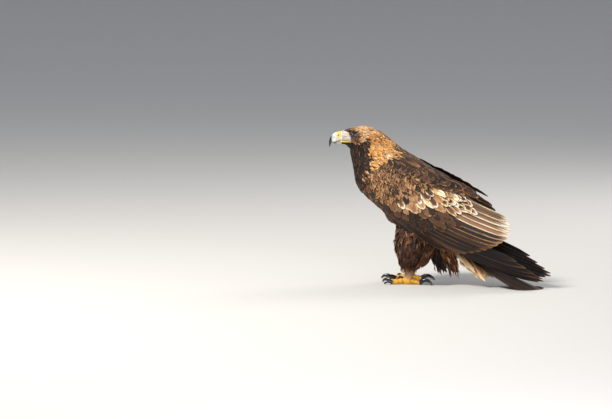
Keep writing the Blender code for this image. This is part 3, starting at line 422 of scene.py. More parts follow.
# The lids: their outer edge, and how far each ring lies from the opening to it and over the eye.
LID_EDGE = math.radians(86)
LID_RINGS = [
    (0, 0.0001),
    (0, 0.0005),
    (0.08, 0.0009),
    (0.2, 0.0006),
    (0.6, 0.0004),
    (1, 0.0002),
    (1, -0.0006),
    (0, -0.0006),
]
# The ball of the foot: height and growth of each ring, and its half length and half width.
PAD_RINGS = [(0.0240, 0.92), (0.0200, 1.02), (0.0160, 1.20), (0.0080, 1.36), (0.0006, 1.18)]
PAD_HALF = (0.0135, 0.0125)

# Grain of the skins before they are smoothed.
SKIN_VOXEL, TOE_VOXEL = 0.0024, 0.0009

# Where the random numbers of each coat start.
SEEDS = {
    "body": 21,
    "neck": 22,
    "head": 23,
    "vent": 26,
    "left": 31,
    "right": 32,
    "coverts": 50,
    "quills": 60,
    "tail": 70,
}
FULL_TURN = 2 * math.pi
SIDES = {"left": -1, "right": 1}


def linear(word):
    """A palette colour as linear light."""
    value = np.array(PALETTE[word]) / 255
    return np.where(value <= 0.04045, value / 12.92, ((value + 0.055) / 1.055) ** 2.4)


COLOURS = {word: linear(word) for word in PALETTE}
COLOURS.update({word: np.array(value) for word, value in BARE_COLOURS.items()})


def rows_at(places, rows, x):
    """The rows of numbers at x, by a smooth curve through rows at places, straight past its ends."""
    places, rows = np.asarray(places, float), np.asarray(rows, float)
    x = np.asarray(x, float)
    last = len(places) - 1
    i = np.clip(np.searchsorted(places, x) - 1, 0, last - 1)
    before, after = np.maximum(i - 1, 0), np.minimum(i + 2, last)
    span = (places[i + 1] - places[i])[..., None]
    slope_a = (rows[i + 1] - rows[before]) / (places[i + 1] - places[before])[..., None]
    slope_b = (rows[after] - rows[i]) / (places[after] - places[i])[..., None]
    u = ((x - places[i]))[..., None] / span
    past = u - np.clip(u, 0, 1)
    u = np.clip(u, 0, 1)
    curve = (
        (2 * u**3 - 3 * u**2 + 1) * rows[i]
        + (u**3 - 2 * u**2 + u) * slope_a * span
        + (3 * u**2 - 2 * u**3) * rows[i + 1]
        + (u**3 - u**2) * slope_b * span
    )
    return curve + past * span * np.where(past < 0, slope_a, slope_b)


def curve_at(places, values, x):
    """The value at x of a smooth curve through values at places."""
    return rows_at(places, np.asarray(values, float)[:, None], x)[..., 0]


def table_at(table, x):
    """The value at x of a table of (x, value) rows, held at its ends."""
    places, values = zip(*table)
    return curve_at(places, values, np.clip(x, places[0], places[-1]))


def stack(*parts):
    return np.stack(np.broadcast_arrays(*parts), axis=-1)


def unit(v):
    return v / np.maximum(np.linalg.norm(v, axis=-1, keepdims=True), 1e-12)


def soft_step(low, high, x):
    """0 below low, 1 above high, and smooth between."""
    share = np.clip((x - low) / (high - low), 0, 1)
    return share * share * (3 - 2 * share)


def blend(a, b, share):
    share = np.asarray(share)[..., None]
    return a * (1 - share) + b * share


def wobble(p, size, seed):
    """Smooth noise from -1 to 1 at points p, for patches about size across."""
    rng = np.random.default_rng(seed)
    total = 0.0
    for _ in range(5):
        wave = rng.normal(size=3) * 2.2 / size
        total = total + np.sin(p @ wave + rng.uniform(0, 2 * math.pi))
    return total / 2.6


# Surfaces


def head_point(forward, up, out):
    forward, up, out = np.broadcast_arrays(forward, up, out)
    flat = HEAD_AHEAD * forward[..., None] + HEAD_RIGHT * out[..., None]
    return SHIFT + HEAD_CENTRE + flat + np.array((0, 0, 1.0)) * up[..., None]


def head_place(p):
    """Forward, up and out of a point, in the head's frame."""
    rel = p - SHIFT - HEAD_CENTRE
    return rel @ HEAD_AHEAD, rel[..., 2], np.abs(rel @ HEAD_RIGHT)


def trunk_rows():
    rows = list(TRUNK)
    for forward, up, pitch, above, below, half in HEAD_STATIONS:
        p = HEAD_CENTRE + HEAD_AHEAD * forward
        rows.append((p[0], p[1], p[2] + up, pitch, math.degrees(HEAD_YAW), above, below, half))
    return rows


ROWS = trunk_rows()
SHIFT = np.zeros(3)


def find_shift():
    """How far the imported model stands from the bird's own frame, from where its left eye is."""
    low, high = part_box("eye_left")
    middle = (np.array(low) + np.array(high)) / 2
    return middle - head_point(EYE[0], EYE[1], -EYE[2])


SHIFT = find_shift()
# The one white feather on the left of the neck.
WHITE_SPOT = head_point(-0.048, -0.034, -0.052)


class Surface:
    """A surface drawn by two numbers, a and b, with its outward normal and its scale at each place."""

    step = 1e-3

    def __init__(self, draw, inside, sample):
        self.draw, self.sign = draw, 1.0
        a, b = (np.array([value], float) for value in sample)
        p, normal, _, _ = self.at(a, b)
        if np.sum(normal[0] * (p[0] - np.asarray(inside))) < 0:
            self.sign = -1.0

    def at(self, a, b):
        """Points, outward normals, and metres for each unit of a and of b."""
        p = self.draw(a, b)
        along = (self.draw(a + self.step, b) - p) / self.step
        across = (self.draw(a, b + self.step) - p) / self.step
        normal = unit(np.cross(along, across)) * self.sign
        size_a, size_b = np.linalg.norm(along, axis=-1), np.linalg.norm(across, axis=-1)
        return p, normal, np.maximum(size_a, 1e-5), np.maximum(size_b, 1e-5)


def trunk_draw(u, angle):
    """u counts stations from the tail's root, and angle is a quarter turn at the back."""
    row = rows_at(np.arange(len(ROWS)) + FIRST_STATION, ROWS, u)
    centre = row[..., :3]
    pitch, yaw = np.radians(row[..., 3]), np.radians(row[..., 4])
    up = stack(np.sin(pitch) * np.cos(yaw), np.sin(pitch) * np.sin(yaw), np.cos(pitch))
    right = stack(-np.sin(yaw), np.cos(yaw), 0 * yaw)
    rise = np.sin(angle)
    reach = np.where(rise > 0, row[..., 5], row[..., 6]) * rise
    p = centre + up * reach[..., None] + right * (row[..., 7] * np.cos(angle))[..., None]
    forward, height, out = head_place(p + SHIFT)
    relief = 0.0
    for f, h, o, wide, tall, stands in HEAD_RELIEF:
        q = ((forward - f) / wide) ** 2 + ((height - h) / tall) ** 2 + ((out - o) / 0.014) ** 2
        relief = relief + stands * np.exp(-q)
    relief = np.where(np.asarray(u) > HEAD_STARTS - 1, relief, 0.0)
    return p + unit(p - centre) * np.asarray(relief)[..., None] + SHIFT


def arc(start, end, length, s):
    """x and z run, and pitch, at s along a line whose pitch goes evenly from start to end."""
    start, end = math.radians(start), math.radians(end)
    bend = (end - start) / length
    pitch = start + bend * s
    return (np.sin(pitch) - math.sin(start)) / bend, (np.cos(pitch) - math.cos(start)) / bend, pitch


def wing_axis(s, side):
    """x, z and pitch of the wing's line, which is straight at first and then lifts."""
    x, z, start, end, straight = WING_LAY[side]
    first, rest = np.minimum(s, straight), np.maximum(s - straight, 0)
    run_x, run_z, pitch = arc(start, end, WING_LENGTH - straight, rest)
    start = math.radians(start)
    return x + math.cos(start) * first + run_x, z - math.sin(start) * first + run_z, pitch


def shell_depth(s, t):
    q = (t - SHELL_CENTRE) / SHELL_REACH
    return table_at(SHELL_HALF_WIDTH, s) * (1 - table_at(SHELL_DROP, s) * q * q)


def wing_draw(side):
    def draw(s, t):
        x, z, pitch = wing_axis(s, side)
        y = side * shell_depth(s, t)
        return stack(x + t * np.sin(pitch), y, z + t * np.cos(pitch)) + SHIFT

    return draw


def wing_place(p, side):
    """s and t of the points nearest to p on a wing."""
    steps = np.linspace(-0.05, 0.62, 135)
    x, z, pitch = wing_axis(steps, side)
    rel = p - SHIFT
    along = (rel[:, None, 0] - x) * np.cos(pitch) - (rel[:, None, 2] - z) * np.sin(pitch)
    best = np.abs(along).argmin(axis=1)
    t = (rel[:, 0] - x[best]) * np.sin(pitch[best]) + (rel[:, 2] - z[best]) * np.cos(pitch[best])
    return steps[best] + along[np.arange(len(p)), best], t


def tail_draw(s, v):
    """s runs from the root to the tip and v across the fan."""
    run_x, run_z, pitch = arc(TAIL_PITCH, TAIL_TIP_PITCH, TAIL_LENGTH, s)
    fall = TAIL_ROOF * v * v
    x = TAIL_ROOT[0] + run_x - fall * np.sin(pitch)
    return stack(x, v, TAIL_ROOT[1] + run_z - fall * np.cos(pitch)) + SHIFT


def thigh_draw(word):
    foot_x, foot_y = FEET[word]
    rows = sorted((h, shift, half_x, half_y) for shift, h, half_x, half_y in THIGH)

    def draw(height, angle):
        held = np.clip(height, rows[0][0], rows[-1][0])
        row = rows_at([r[0] for r in rows], [r[1:] for r in rows], held)
        inward = -math.copysign(1, foot_y) * 0.10 * np.maximum(0, height - 0.12)
        x = foot_x + row[..., 0] + row[..., 1] * np.cos(angle)
        y = foot_y + inward + row[..., 2] * np.sin(angle)
        return stack(x, y, height + 0 * angle) + SHIFT

    return draw


def shin_draw(word):
    foot_x, foot_y = FEET[word]

    def draw(height, angle):
        swell = SHIN_RADIUS * (1 + 0.10 * np.cos((height - SHIN_FOOT) / 0.035 * math.pi))
        x = foot_x + 0.002 + swell * 1.05 * np.cos(angle)
        return stack(x, foot_y + swell * np.sin(angle), height + 0 * angle) + SHIFT

    return draw


def vent_draw(height, angle):
    """A tuft of loose belly feathers behind the legs, as a blunt cone that leans back."""
    share = (VENT_TOP - height) / (VENT_TOP - VENT_FOOT)
    x = VENT_PLACE + VENT_LEAN * share + (VENT_HALF[0] - VENT_NARROWS[0] * share) * np.cos(angle)
    y = (VENT_HALF[1] - VENT_NARROWS[1] * share) * np.sin(angle)
    return stack(x, y, height + 0 * angle) + SHIFT


def round_form(draw, a, b):
    """The surface of a round form, of which a and b give one place."""
    front, back = (draw(np.array([a]), np.array([angle]))[0] for angle in (0.0, math.pi))
    return Surface(draw, (front + back) / 2, (a, b))


VENT = round_form(vent_draw, 0.12, 0.5)
TRUNK_SURFACE = round_form(trunk_draw, 4.0, 1.0)
WINGS = {side: Surface(wing_draw(side), SHIFT + (0, 0, 0.25), (0.1, 0.06)) for side in SIDES.values()}
TAIL = Surface(tail_draw, SHIFT + (0.25, 0, 0.0), (0.15, 0.01))
THIGHS = {word: round_form(thigh_draw(word), 0.12, 1.0) for word in FEET}
SHINS = {word: round_form(shin_draw(word), 0.04, 1.0) for word in FEET}


# Meshes


def mesh_object(name, points, faces, material, smooth_below=50):
    mesh = bpy.data.meshes.new(name)
    faces = np.asarray(faces)
    mesh.vertices.add(len(points))
    mesh.vertices.foreach_set("co", np.asarray(points, np.float32).ravel())
    mesh.loops.add(faces.size)
    mesh.loops.foreach_set("vertex_index", faces.ravel().astype(np.int32))
    mesh.polygons.add(len(faces))
    mesh.polygons.foreach_set("loop_start", np.arange(0, faces.size, faces.shape[1], dtype=np.int32))
    mesh.update(calc_edges=True)
    mesh.shade_smooth()
    mesh.set_sharp_from_angle(angle=math.radians(smooth_below))
    mesh.materials.append(material)
    obj = bpy.data.objects.new(name, mesh)
    bpy.context.scene.collection.objects.link(obj)
    return obj


def set_colours(mesh, name, values):
    layer = mesh.color_attributes.new(name, "FLOAT_COLOR", "POINT")
    layer.data.foreach_set("color", np.asarray(values, np.float32).ravel())


def set_map(mesh, name, values):
    """Gives the mesh a UV map from one pair for each vertex."""
    layer = mesh.uv_layers.new(name=name)
    corners = np.zeros(len(mesh.loops), np.int32)
    mesh.loops.foreach_get("vertex_index", corners)
    layer.data.foreach_set("uv", np.asarray(values, np.float32)[corners].ravel())


class Graph:
    """A material's nodes, joined as they are made."""

    def __init__(self, name, **sockets):
        self.material = bpy.data.materials.new(name)
        self.material.use_nodes = True
        self.tree = self.material.node_tree
        self.shader = self.tree.nodes["Principled BSDF"]
        for socket, value in sockets.items():
            self.shader.inputs[socket.replace("_", " ")].default_value = value

    def add(self, kind, inputs=(), output=0, **settings):
        node = self.tree.nodes.new("ShaderNode" + kind)
        for key, value in settings.items():
            setattr(node, key, value)
        for socket, value in dict(inputs).items():
            self.put(node.inputs[socket], value)
        return node.outputs[output]

    def put(self, socket, value):
        if isinstance(value, bpy.types.NodeSocket):
            self.tree.links.new(value, socket)
        elif isinstance(value, np.ndarray):
            socket.default_value = (*value, 1.0)
        else:
            socket.default_value = value

    def math(self, operation, a, b=0.0):
        return self.add("Math", {0: a, 1: b}, operation=operation)

    def plus(self, a, b):
        return self.math("ADD", a, b)

    def minus(self, a, b):
        return self.math("SUBTRACT", a, b)

    def times(self, a, b):
        return self.math("MULTIPLY", a, b)

    def noise(self, scale, detail=4.0, where=None):
        inputs = {"Scale": scale, "Detail": detail}
        inputs["Vector"] = where or self.add("TexCoord", output="Object")
        return self.add("TexNoise", inputs, output="Fac")

    def painted(self):
        return self.add("VertexColor", layer_name="centre")

    def mix(self, share, a, b, how="MIX"):
        inputs = {0: share, 6: a, 7: b}
        return self.add("Mix", inputs, output=2, data_type="RGBA", blend_type=how)

    def lit(self, colour, amount):
        """colour made lighter or darker by amount, a factor near one."""
        grey = self.add("CombineColor", {0: amount, 1: amount, 2: amount})
        return self.mix(1.0, colour, grey, "MULTIPLY")

    def step(self, low, high, value):
        inputs = {"Value": value, "From Min": low, "From Max": high}
        return self.add("MapRange", inputs, interpolation_type="SMOOTHSTEP")

    def finish(self, colour, height=None, distance=0.0005, strength=0.6):
        self.put(self.shader.inputs["Base Color"], colour)
        if height is not None:
            inputs = {"Height": height, "Distance": distance, "Strength": strength}
            self.put(self.shader.inputs["Normal"], self.add("Bump", inputs))
        return self.material


def feather_material(name, barbs, strands, rough, shaft_width, root_shade):
    """Vanes with a shaft, slanting barbs, strands along them, and a ragged edge of its own colour."""
    g = Graph(name, Roughness=rough, Specular_IOR_Level=0.22)
    node = g.add("SeparateXYZ", {0: g.add("UVMap", uv_map="vane")}).node
    x, y = node.outputs["X"], node.outputs["Y"]
    across = g.times(g.math("ABSOLUTE", g.minus(x, 0.5)), 2.0)
    centre = g.painted()
    edge = g.add("VertexColor", layer_name="edge")
    fringe, streak = centre.node.outputs["Alpha"], edge.node.outputs["Alpha"]
    own = g.times(g.add("SeparateColor", {0: centre}), 900.0)
    where = {0: g.times(x, strands), 1: g.times(y, 2.0), 2: own}
    strand = g.noise(1.0, 3.0, g.add("CombineXYZ", where))
    loose = g.noise(700.0, 2.0)
    tip = g.math("DIVIDE", g.minus(y, 0.55), 0.45)
    fray = g.times(g.minus(g.noise(420.0, 3.0), 0.5), 0.4)
    fray = g.plus(fray, g.times(g.minus(strand, 0.5), 0.7))
    reach = g.plus(g.math("MAXIMUM", across, tip), fray)
    colour = g.mix(g.step(g.minus(1.0, fringe), 1.02, reach), centre, edge)
    shaft = g.times(g.step(shaft_width * 2, shaft_width, across), streak)
    colour = g.mix(shaft, colour, COLOURS["soot"])
    slant = g.minus(g.times(y, barbs), g.times(across, barbs * 0.22))
    barb = g.math("SINE", g.times(slant, FULL_TURN))
    shade = g.plus(g.times(barb, 0.05), g.times(loose, 0.35))
    shade = g.plus(shade, g.times(strand, 0.50))
    # Darker towards each feather's root: partly the feather's own darker base, partly painted shade where
    # the feathers above overlap it.
    shade = g.plus(shade, g.times(g.step(0.30, 0.92, y), root_shade))
    colour = g.lit(colour, g.plus(shade, 0.62 - root_shade))
    height = g.plus(g.times(barb, 0.4), g.plus(loose, strand))
    return g.finish(colour, height, 0.0003, 0.5)


def skin_material():
    """Bare and down-covered skin, in the colours of the coat over it."""
    g = Graph("skin", Roughness=0.75)
    fine, broad = g.noise(1400.0, 3.0), g.noise(160.0)
    amount = g.plus(g.plus(g.times(fine, 0.5), g.times(broad, 0.4)), 0.5)
    return g.finish(g.lit(g.painted(), amount), fine, 0.0006, 0.8)


def horn_material(name, rough):
    """Horn whose colour is painted on, with growth lines and fine scratches."""
    g = Graph(name, Roughness=rough, Coat_Weight=0.25, Coat_Roughness=0.2)
    where = g.add("Mapping", {"Vector": g.add("TexCoord", output="Object"), "Scale": (1, 1, 3.0)})
    lines = g.noise(350.0, 5.0, where)
    amount = g.plus(g.times(lines, 0.35), g.times(g.noise(90.0), 0.3))
    return g.finish(g.lit(g.painted(), g.plus(amount, 0.68)), lines, 0.0003, 0.35)


def toe_material():
    """Scaly yellow skin, with seams between small plates and some duller patches."""
    g = Graph("toe_skin", Roughness=0.48, Subsurface_Weight=0.08, Subsurface_Scale=0.004)
    where = {"Vector": g.add("TexCoord", output="Object"), "Scale": 520.0}
    seam = g.step(0.0, 0.10, g.add("TexVoronoi", where, feature="DISTANCE_TO_EDGE"))
    broad = g.noise(120.0)
    bright = g.painted()
    colour = g.mix(g.step(0.35, 0.7, broad), bright, g.lit(bright, 0.72))
    colour = g.mix(seam, g.lit(bright, 0.5), colour)
    return g.finish(colour, g.plus(seam, g.times(broad, 0.4)))


def eye_material():
    """A hazel iris round a black pupil, by the distance from the middle of the cornea."""
    g = Graph("eye", Roughness=0.06, Coat_Weight=1.0, Coat_Roughness=0.02)
    out = g.add("SeparateColor", {0: g.painted()})
    iris = g.mix(g.noise(1500.0, 4.0), COLOURS["iris_dark"], COLOURS["iris_light"])
    colour = g.mix(g.step(0.50, 0.54, out), COLOURS["pupil"], iris)
    return g.finish(g.mix(g.step(0.80, 0.90, out), colour, COLOURS["eye_rim"]))


# Feathers


def let_ride(obj, replaces=()):
    """Lets a piece ride on the bird, and hides the model's nodes it stands for."""
    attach(obj, "root")
    if replaces:
        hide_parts(*replaces)


class Coat:
    """Feathers of one piece, gathered before its mesh is made."""

    def __init__(self, name, form, material, replaces=()):
        self.name, self.form, self.material, self.replaces = name, form, material, replaces
        self.points, self.faces, self.vane, self.bake = [], [], [], []
        self.centre, self.edge, self.count = [], [], 0

    def grow(self, surface, a, b, turn, length, width, heights, tones, **more):
        """Feathers rooted at a and b. turn is the way each points, from +a towards +b, in radians.

        heights has the outer face's height over the surface at FORM_SHARES of the length.
        """
        columns, rows, point, widths, camber, thick = FORMS[self.form]
        n = len(a)
        a, b, turn, length, width = (
            np.broadcast_to(np.asarray(x, float), (n,))[:, None, None]
            for x in (a, b, turn, length, width)
        )
        v = (1 - (1 - np.linspace(0, 1, rows + 1)) ** 1.35)[:, None]
        w = np.linspace(-1, 1, columns + 1)[None, :]
        half = width / 2 * curve_at(FORM_SHARES, widths, v)
        bend = np.asarray(more.get("bend", np.zeros(n)))[:, None, None]
        x = length * (v - point * w * w * v**3)
        y = half * w + bend * length * v * v
        _, _, size_a, size_b = surface.at(a, b)
        here_a = a + (x * np.cos(turn) - y * np.sin(turn)) / size_a
        here_b = b + (x * np.sin(turn) + y * np.cos(turn)) / size_b
        heights = np.broadcast_to(np.asarray(heights, float), (n, len(FORM_SHARES)))
        height = np.stack([np.interp(v[:, 0], FORM_SHARES, h) for h in heights])[:, :, None]
        height = height + camber * half * (1 - w * w) + more.get("roll", 0.0) * half * w
        p, normal, _, _ = surface.at(here_a, here_b)
        top = p + normal * height[..., None]
        top[..., 2] = np.maximum(top[..., 2], FLOOR_CLEAR)
        under = top[:, 1:-1, 1:-1] - normal[:, 1:-1, 1:-1] * thick
        self.store(top, under, v, w, n)
        self.paint(tones, n, top.shape[1] * top.shape[2], under.shape[1] * under.shape[2])
        self.roots_on_map(more["place"], n)

    def store(self, top, under, v, w, n):
        rows, columns = top.shape[1], top.shape[2]
        index = np.arange(rows * columns).reshape(rows, columns)
        back = index.copy()
        inner = np.arange((rows - 2) * (columns - 2)).reshape(rows - 2, columns - 2)
        back[1:-1, 1:-1] = rows * columns + inner
        one = [index[:-1, :-1], index[1:, :-1], index[1:, 1:], index[:-1, 1:]]
        other = [back[:-1, :-1], back[:-1, 1:], back[1:, 1:], back[1:, :-1]]
        faces = np.concatenate([np.stack(part, -1).reshape(-1, 4) for part in (one, other)])
        size = rows * columns + inner.size
        starts = self.count + np.arange(n) * size
        self.faces.append((faces[None] + starts[:, None, None]).reshape(-1, 4))
        points = np.concatenate([top.reshape(n, -1, 3), under.reshape(n, -1, 3)], 1)
        self.points.append(points.reshape(-1, 3))
        grid = stack((w + 1) / 2, v)
        flat = np.concatenate([grid.reshape(-1, 2), grid[1:-1, 1:-1].reshape(-1, 2)])
        self.vane.append(np.tile(flat, (n, 1)))
        self.count += n * size

    def paint(self, tones, n, top_size, under_size):
        centre, edge, fringe, streak = tones
        size = top_size + under_size
        for kept, colour, last in ((self.centre, centre, fringe), (self.edge, edge, streak)):
            colour = np.broadcast_to(colour, (n, 3))
            last = np.broadcast_to(last, (n,))[:, None]
            kept.append(np.repeat(np.concatenate([colour, last], 1), size, axis=0))

    def roots_on_map(self, place, n):
        """Puts each feather on the bake map as a small patch where its root is."""
        own = self.vane[-1].reshape(n, -1, 2) - 0.5
        spots = np.clip(np.stack(place, -1), 0.01, 0.99)[:, None]
        self.bake.append((spots + own * TUFT_PATCH).reshape(-1, 2))

    def finish(self):
        points, faces = np.concatenate(self.points), np.concatenate(self.faces)
        obj = mesh_object(self.name, points, faces, self.material)
        set_map(obj.data, "OFBake", np.concatenate(self.bake))
        set_map(obj.data, "vane", np.concatenate(self.vane))
        set_colours(obj.data, "centre", np.concatenate(self.centre))
        set_colours(obj.data, "edge", np.concatenate(self.edge))
        let_ride(obj, self.replaces)
        return obj


SKIN_POINTS, SKIN_COLOURS = [], []


def note_skin(points, centre):
    """Keeps the coat's colour at its roots, so that the skin takes the same markings."""
    SKIN_POINTS.append(points)
    SKIN_COLOURS.append(np.broadcast_to(centre, points.shape))


def vary(rng, colour, amount):
    """Each row of colour made lighter or darker at random."""
    return colour * np.exp(rng.normal(0, amount, (len(colour), 1)))


def heights_for(sink, rise, n):
    """Heights along feathers that leave the skin at sink and end rise above it."""
    ramp = np.minimum(1, np.array(FORM_SHARES) / 0.8) ** 0.8
    return np.broadcast_to(sink + (rise - sink) * ramp, (n, len(ramp)))


def uneven(rng, sink, rise, spread, n):
    """Heights along feathers that don't all stand the same."""
    return heights_for(sink, rise, n) + rng.normal(0, spread, (n, 1))


def lifted(reach, power=2):
    """Extra heights along feathers whose tips stand off by reach."""
    return np.outer(reach, np.array(FORM_SHARES) ** power)


def trunk_roots(span, along, across, rng):
    """Staggered roots in rows round the trunk, from the front back, with spacings by station."""
    angles = np.linspace(0, FULL_TURN, 181)
    us, thetas = [], []
    (u, end), row = span, 0
    while u > end:
        ring = trunk_draw(np.full(len(angles), u), angles)
        run = np.concatenate([[0], np.cumsum(np.linalg.norm(np.diff(ring, axis=0), axis=1))])
        count = max(6, round(run[-1] / np.interp(u, *across)))
        spots = (np.arange(count) + 0.5 * (row % 2) + rng.uniform(-0.22, 0.22, count)) / count
        apart = np.interp(u, *along)
        thetas.append(np.interp((spots % 1.0) * run[-1], run, angles))
        us.append(u + rng.uniform(-0.25, 0.25, count) * apart * 20)
        step = np.linalg.norm(trunk_draw(u - 0.1, angles) - ring, axis=1).mean() / 0.1
        u -= apart / step
        row += 1
    return np.concatenate(us), np.concatenate(thetas)


def turn_share(angle):
    return (angle / FULL_TURN) % 1.0


def under_wing(p, margin=0.014):
    """Whether points of the trunk lie hidden under a folded wing."""
    hidden = np.zeros(len(p), bool)
    for side in SIDES.values():
        s, t = wing_place(p, side)
        low = table_at(LOWER_EDGE, s) + margin
        high = table_at(UPPER_EDGE[side], s) - margin
        inside = (s > -0.034) & (s < ARM_END[side]) & (t > low) & (t < high)
        hidden |= inside & ((p[:, 1] - SHIFT[1]) * side > 0)
    return hidden


def lighter(colour, times, limit):
    """Colours made so many times lighter, as far as none of their parts passes the limit."""
    return colour * np.clip(limit / colour.max(axis=1, keepdims=True), 1.0, times)


def mixed(rng, n, mix):
    """One of a mix's colours for each of n feathers."""
    table = np.stack([COLOURS[word] for word in MIXES[mix]])
    shares = np.array(list(MIXES[mix].values()))
    return table[rng.choice(len(table), n, p=shares / np.sum(shares))]


def chosen(rng, chance):
    """1 for each feather that its chance picks, and 0 for the others."""
    return 1.0 * (rng.random(len(chance)) < chance)


def golden_tones(rng, n):
    """Hackles of a golden nape, some of them dark or creamy."""
    return blend(mixed(rng, n, "golden"), COLOURS["gold"], 0.25)


def over_brow(forward, up):
    """How far a place on the head lies above the line of the brow."""
    return up - (EYE[1] + (forward - EYE[0]) * BROW_RISE)


def head_tones(p, rng):
    """Colours of the head's feathers: pale crown, dark brow and throat, and golden cheek and nape."""
    forward, up, _ = head_place(p)
    n = len(p)
    patch = wobble(p, 0.012, 3)
    brow = over_brow(forward, up)
    crown = mixed(rng, n, "crown")
    crown = blend(crown, mixed(rng, n, "front"), soft_step(0.040, 0.056, forward))
    cheek = mixed(rng, n, "cheek")
    rear = soft_step(0.040, 0.028, forward) * soft_step(-0.016, -0.006, up)
    cheek = blend(cheek, mixed(rng, n, "ear"), rear)
    centre = blend(cheek, crown, soft_step(0.0015, 0.0065, brow))
    nape = soft_step(0.020, -0.003, forward + 0.003 * patch) * soft_step(0.020, 0.008, up)
    centre = blend(centre, golden_tones(rng, n), chosen(rng, nape))
    line = -0.011 - 0.20 * (0.045 - forward) + 0.0015 * patch
    dark = soft_step(0.0035, -0.0035, up - line) * soft_step(-0.008, 0.010, forward)
    dark = chosen(rng, dark)
    centre = blend(centre, mixed(rng, n, "throat"), dark)
    near = np.hypot(forward - EYE[0], (up - EYE[1]) * 1.2)
    mask = soft_step(0.018, 0.010, near) * (forward < 0.055)
    band = soft_step(0.0040, 0.0022, np.abs(brow - 0.0022)) * soft_step(0.078, 0.070, forward)
    centre = blend(centre, COLOURS["soot"], np.maximum(mask, band * (forward > 0.030)) * 0.9)
    lores = soft_step(0.0495, 0.0525, forward) * soft_step(-0.0060, -0.0030, up)
    lores = lores * soft_step(0.0010, -0.0015, brow)
    centre = vary(rng, blend(centre, mixed(rng, n, "lores"), lores), 0.18)
    return centre, lighter(centre, 1.7, 0.8), 0.45, 0.25 * (1 - lores)


def neck_tones(p, u, rng):
    """Golden, cream-tipped hackles on the nape and sides behind a dark throat."""
    n = len(p)
    forward = head_place(p)[0] + 0.006 * wobble(p, 0.020, 5)
    dark = mixed(rng, n, "neck")
    golden = chosen(rng, soft_step(0.013, -0.008, forward))
    centre = blend(dark, golden_tones(rng, n), golden)
    spot = np.linalg.norm(p - WHITE_SPOT, axis=1)
    centre = blend(centre, COLOURS["white"], soft_step(0.008, 0.004, spot))
    foot = mixed(rng, n, "neck_foot")
    lower = np.maximum(soft_step(6.8, 6.2, u), soft_step(-0.062, -0.084, forward))
    centre = vary(rng, blend(centre, foot, chosen(rng, lower)), 0.18)
    pale = blend(centre * 1.5, COLOURS["cream"], 0.30)
    edge = blend(lighter(centre, 1.8, 0.6), pale, golden * (1 - 0.7 * lower))
    return centre, edge, 0.34 + 0.12 * golden, 0.5 - 0.3 * golden


def body_tones(p, u, angle, rng):
    """Dark mantle with paler fringes, a dark breast with tawny streaks, and a rusty vent."""
    n = len(p)
    back = soft_step(-0.1, 0.3, np.sin(angle))
    mantle = mixed(rng, n, "mantle")
    centre = blend(mixed(rng, n, "breast"), mantle, back)
    vent = soft_step(1.3, 0.3, u) * (1 - back)
    centre = vary(rng, blend(centre, COLOURS["rust"], vent * 0.9), 0.18)
    edge = blend(lighter(centre, 2.2, 0.5), COLOURS["tan"], 0.30 + 0.15 * wobble(p, 0.045, 7))
    return centre, blend(edge, COLOURS["cream"], vent), 0.24 + 0.10 * (1 - back), 0.6


def cover(coat, surface, a, angle, p, place, look, bend):
    """Grows one coat all round a form, rooted at points p, and leaves its colours on the skin."""
    turn, length, width, heights, tones = look
    coat.grow(surface, a, angle, turn, length, width, heights, tones, bend=bend, place=place)
    note_skin(p, tones[0])


def start_trunk_coat(word, material):
    """A coat, its random numbers, and the stations, angles and points of its roots."""
    form, span, along, across = TRUNK_COATS[word]
    rng = np.random.default_rng(SEEDS[word])
    u, angle = trunk_roots(span, along, across, rng)
    u = np.minimum(u, BILL_STATION - 0.01)
    return Coat("coat_" + word, form, material), rng, u, angle, trunk_draw(u, angle)


def finish_trunk_coat(coat, u, angle, p, look, bend):
    place = ((u + 1) / 15, turn_share(angle))
    cover(coat, TRUNK_SURFACE, u, angle, p, place, look, bend)
    coat.finish()


def make_body_coat():
    coat, rng, u, angle, p = start_trunk_coat("body", FEATHER)
    keep = ~under_wing(p, np.interp(u, *WING_MARGIN))
    u, angle, p = u[keep], angle[keep], p[keep]
    n = len(u)
    back = soft_step(-0.2, 0.5, np.sin(angle))
    length = (0.038 + 0.016 * back) * rng.uniform(0.85, 1.12, n)
    length *= np.interp(u, *BODY_SHRINK)
    width = length * (0.46 + 0.06 * back)
    turn = math.pi + rng.normal(0, 0.10, n)
    tones = body_tones(p, u, angle, rng)
    heights = uneven(rng, *BODY_STAND, n)
    look = (turn, length, width, heights, tones)
    finish_trunk_coat(coat, u, angle, p, look, rng.normal(0, 0.05, n))


def make_neck_coat():
    coat, rng, u, angle, p = start_trunk_coat("neck", HACKLE)
    keep = ~under_wing(p)
    u, angle, p = u[keep], angle[keep], p[keep]
    n = len(u)
    length = np.interp(u, *NECK_LENGTH)
    length = length * (0.86 + 0.14 * np.sin(angle)) * rng.uniform(0.85, 1.15, n)
    width = np.interp(u, *NECK_WIDTH) * rng.uniform(0.8, 1.2, n)
    turn = math.pi - HACKLE_LEAN * np.cos(angle) + rng.normal(0, 0.12, n)
    tones = neck_tones(p, u, rng)
    heights = uneven(rng, *NECK_STAND, n)
    look = (turn, length, width, heights, tones)
    finish_trunk_coat(coat, u, angle, p, look, rng.normal(0, 0.06, n))


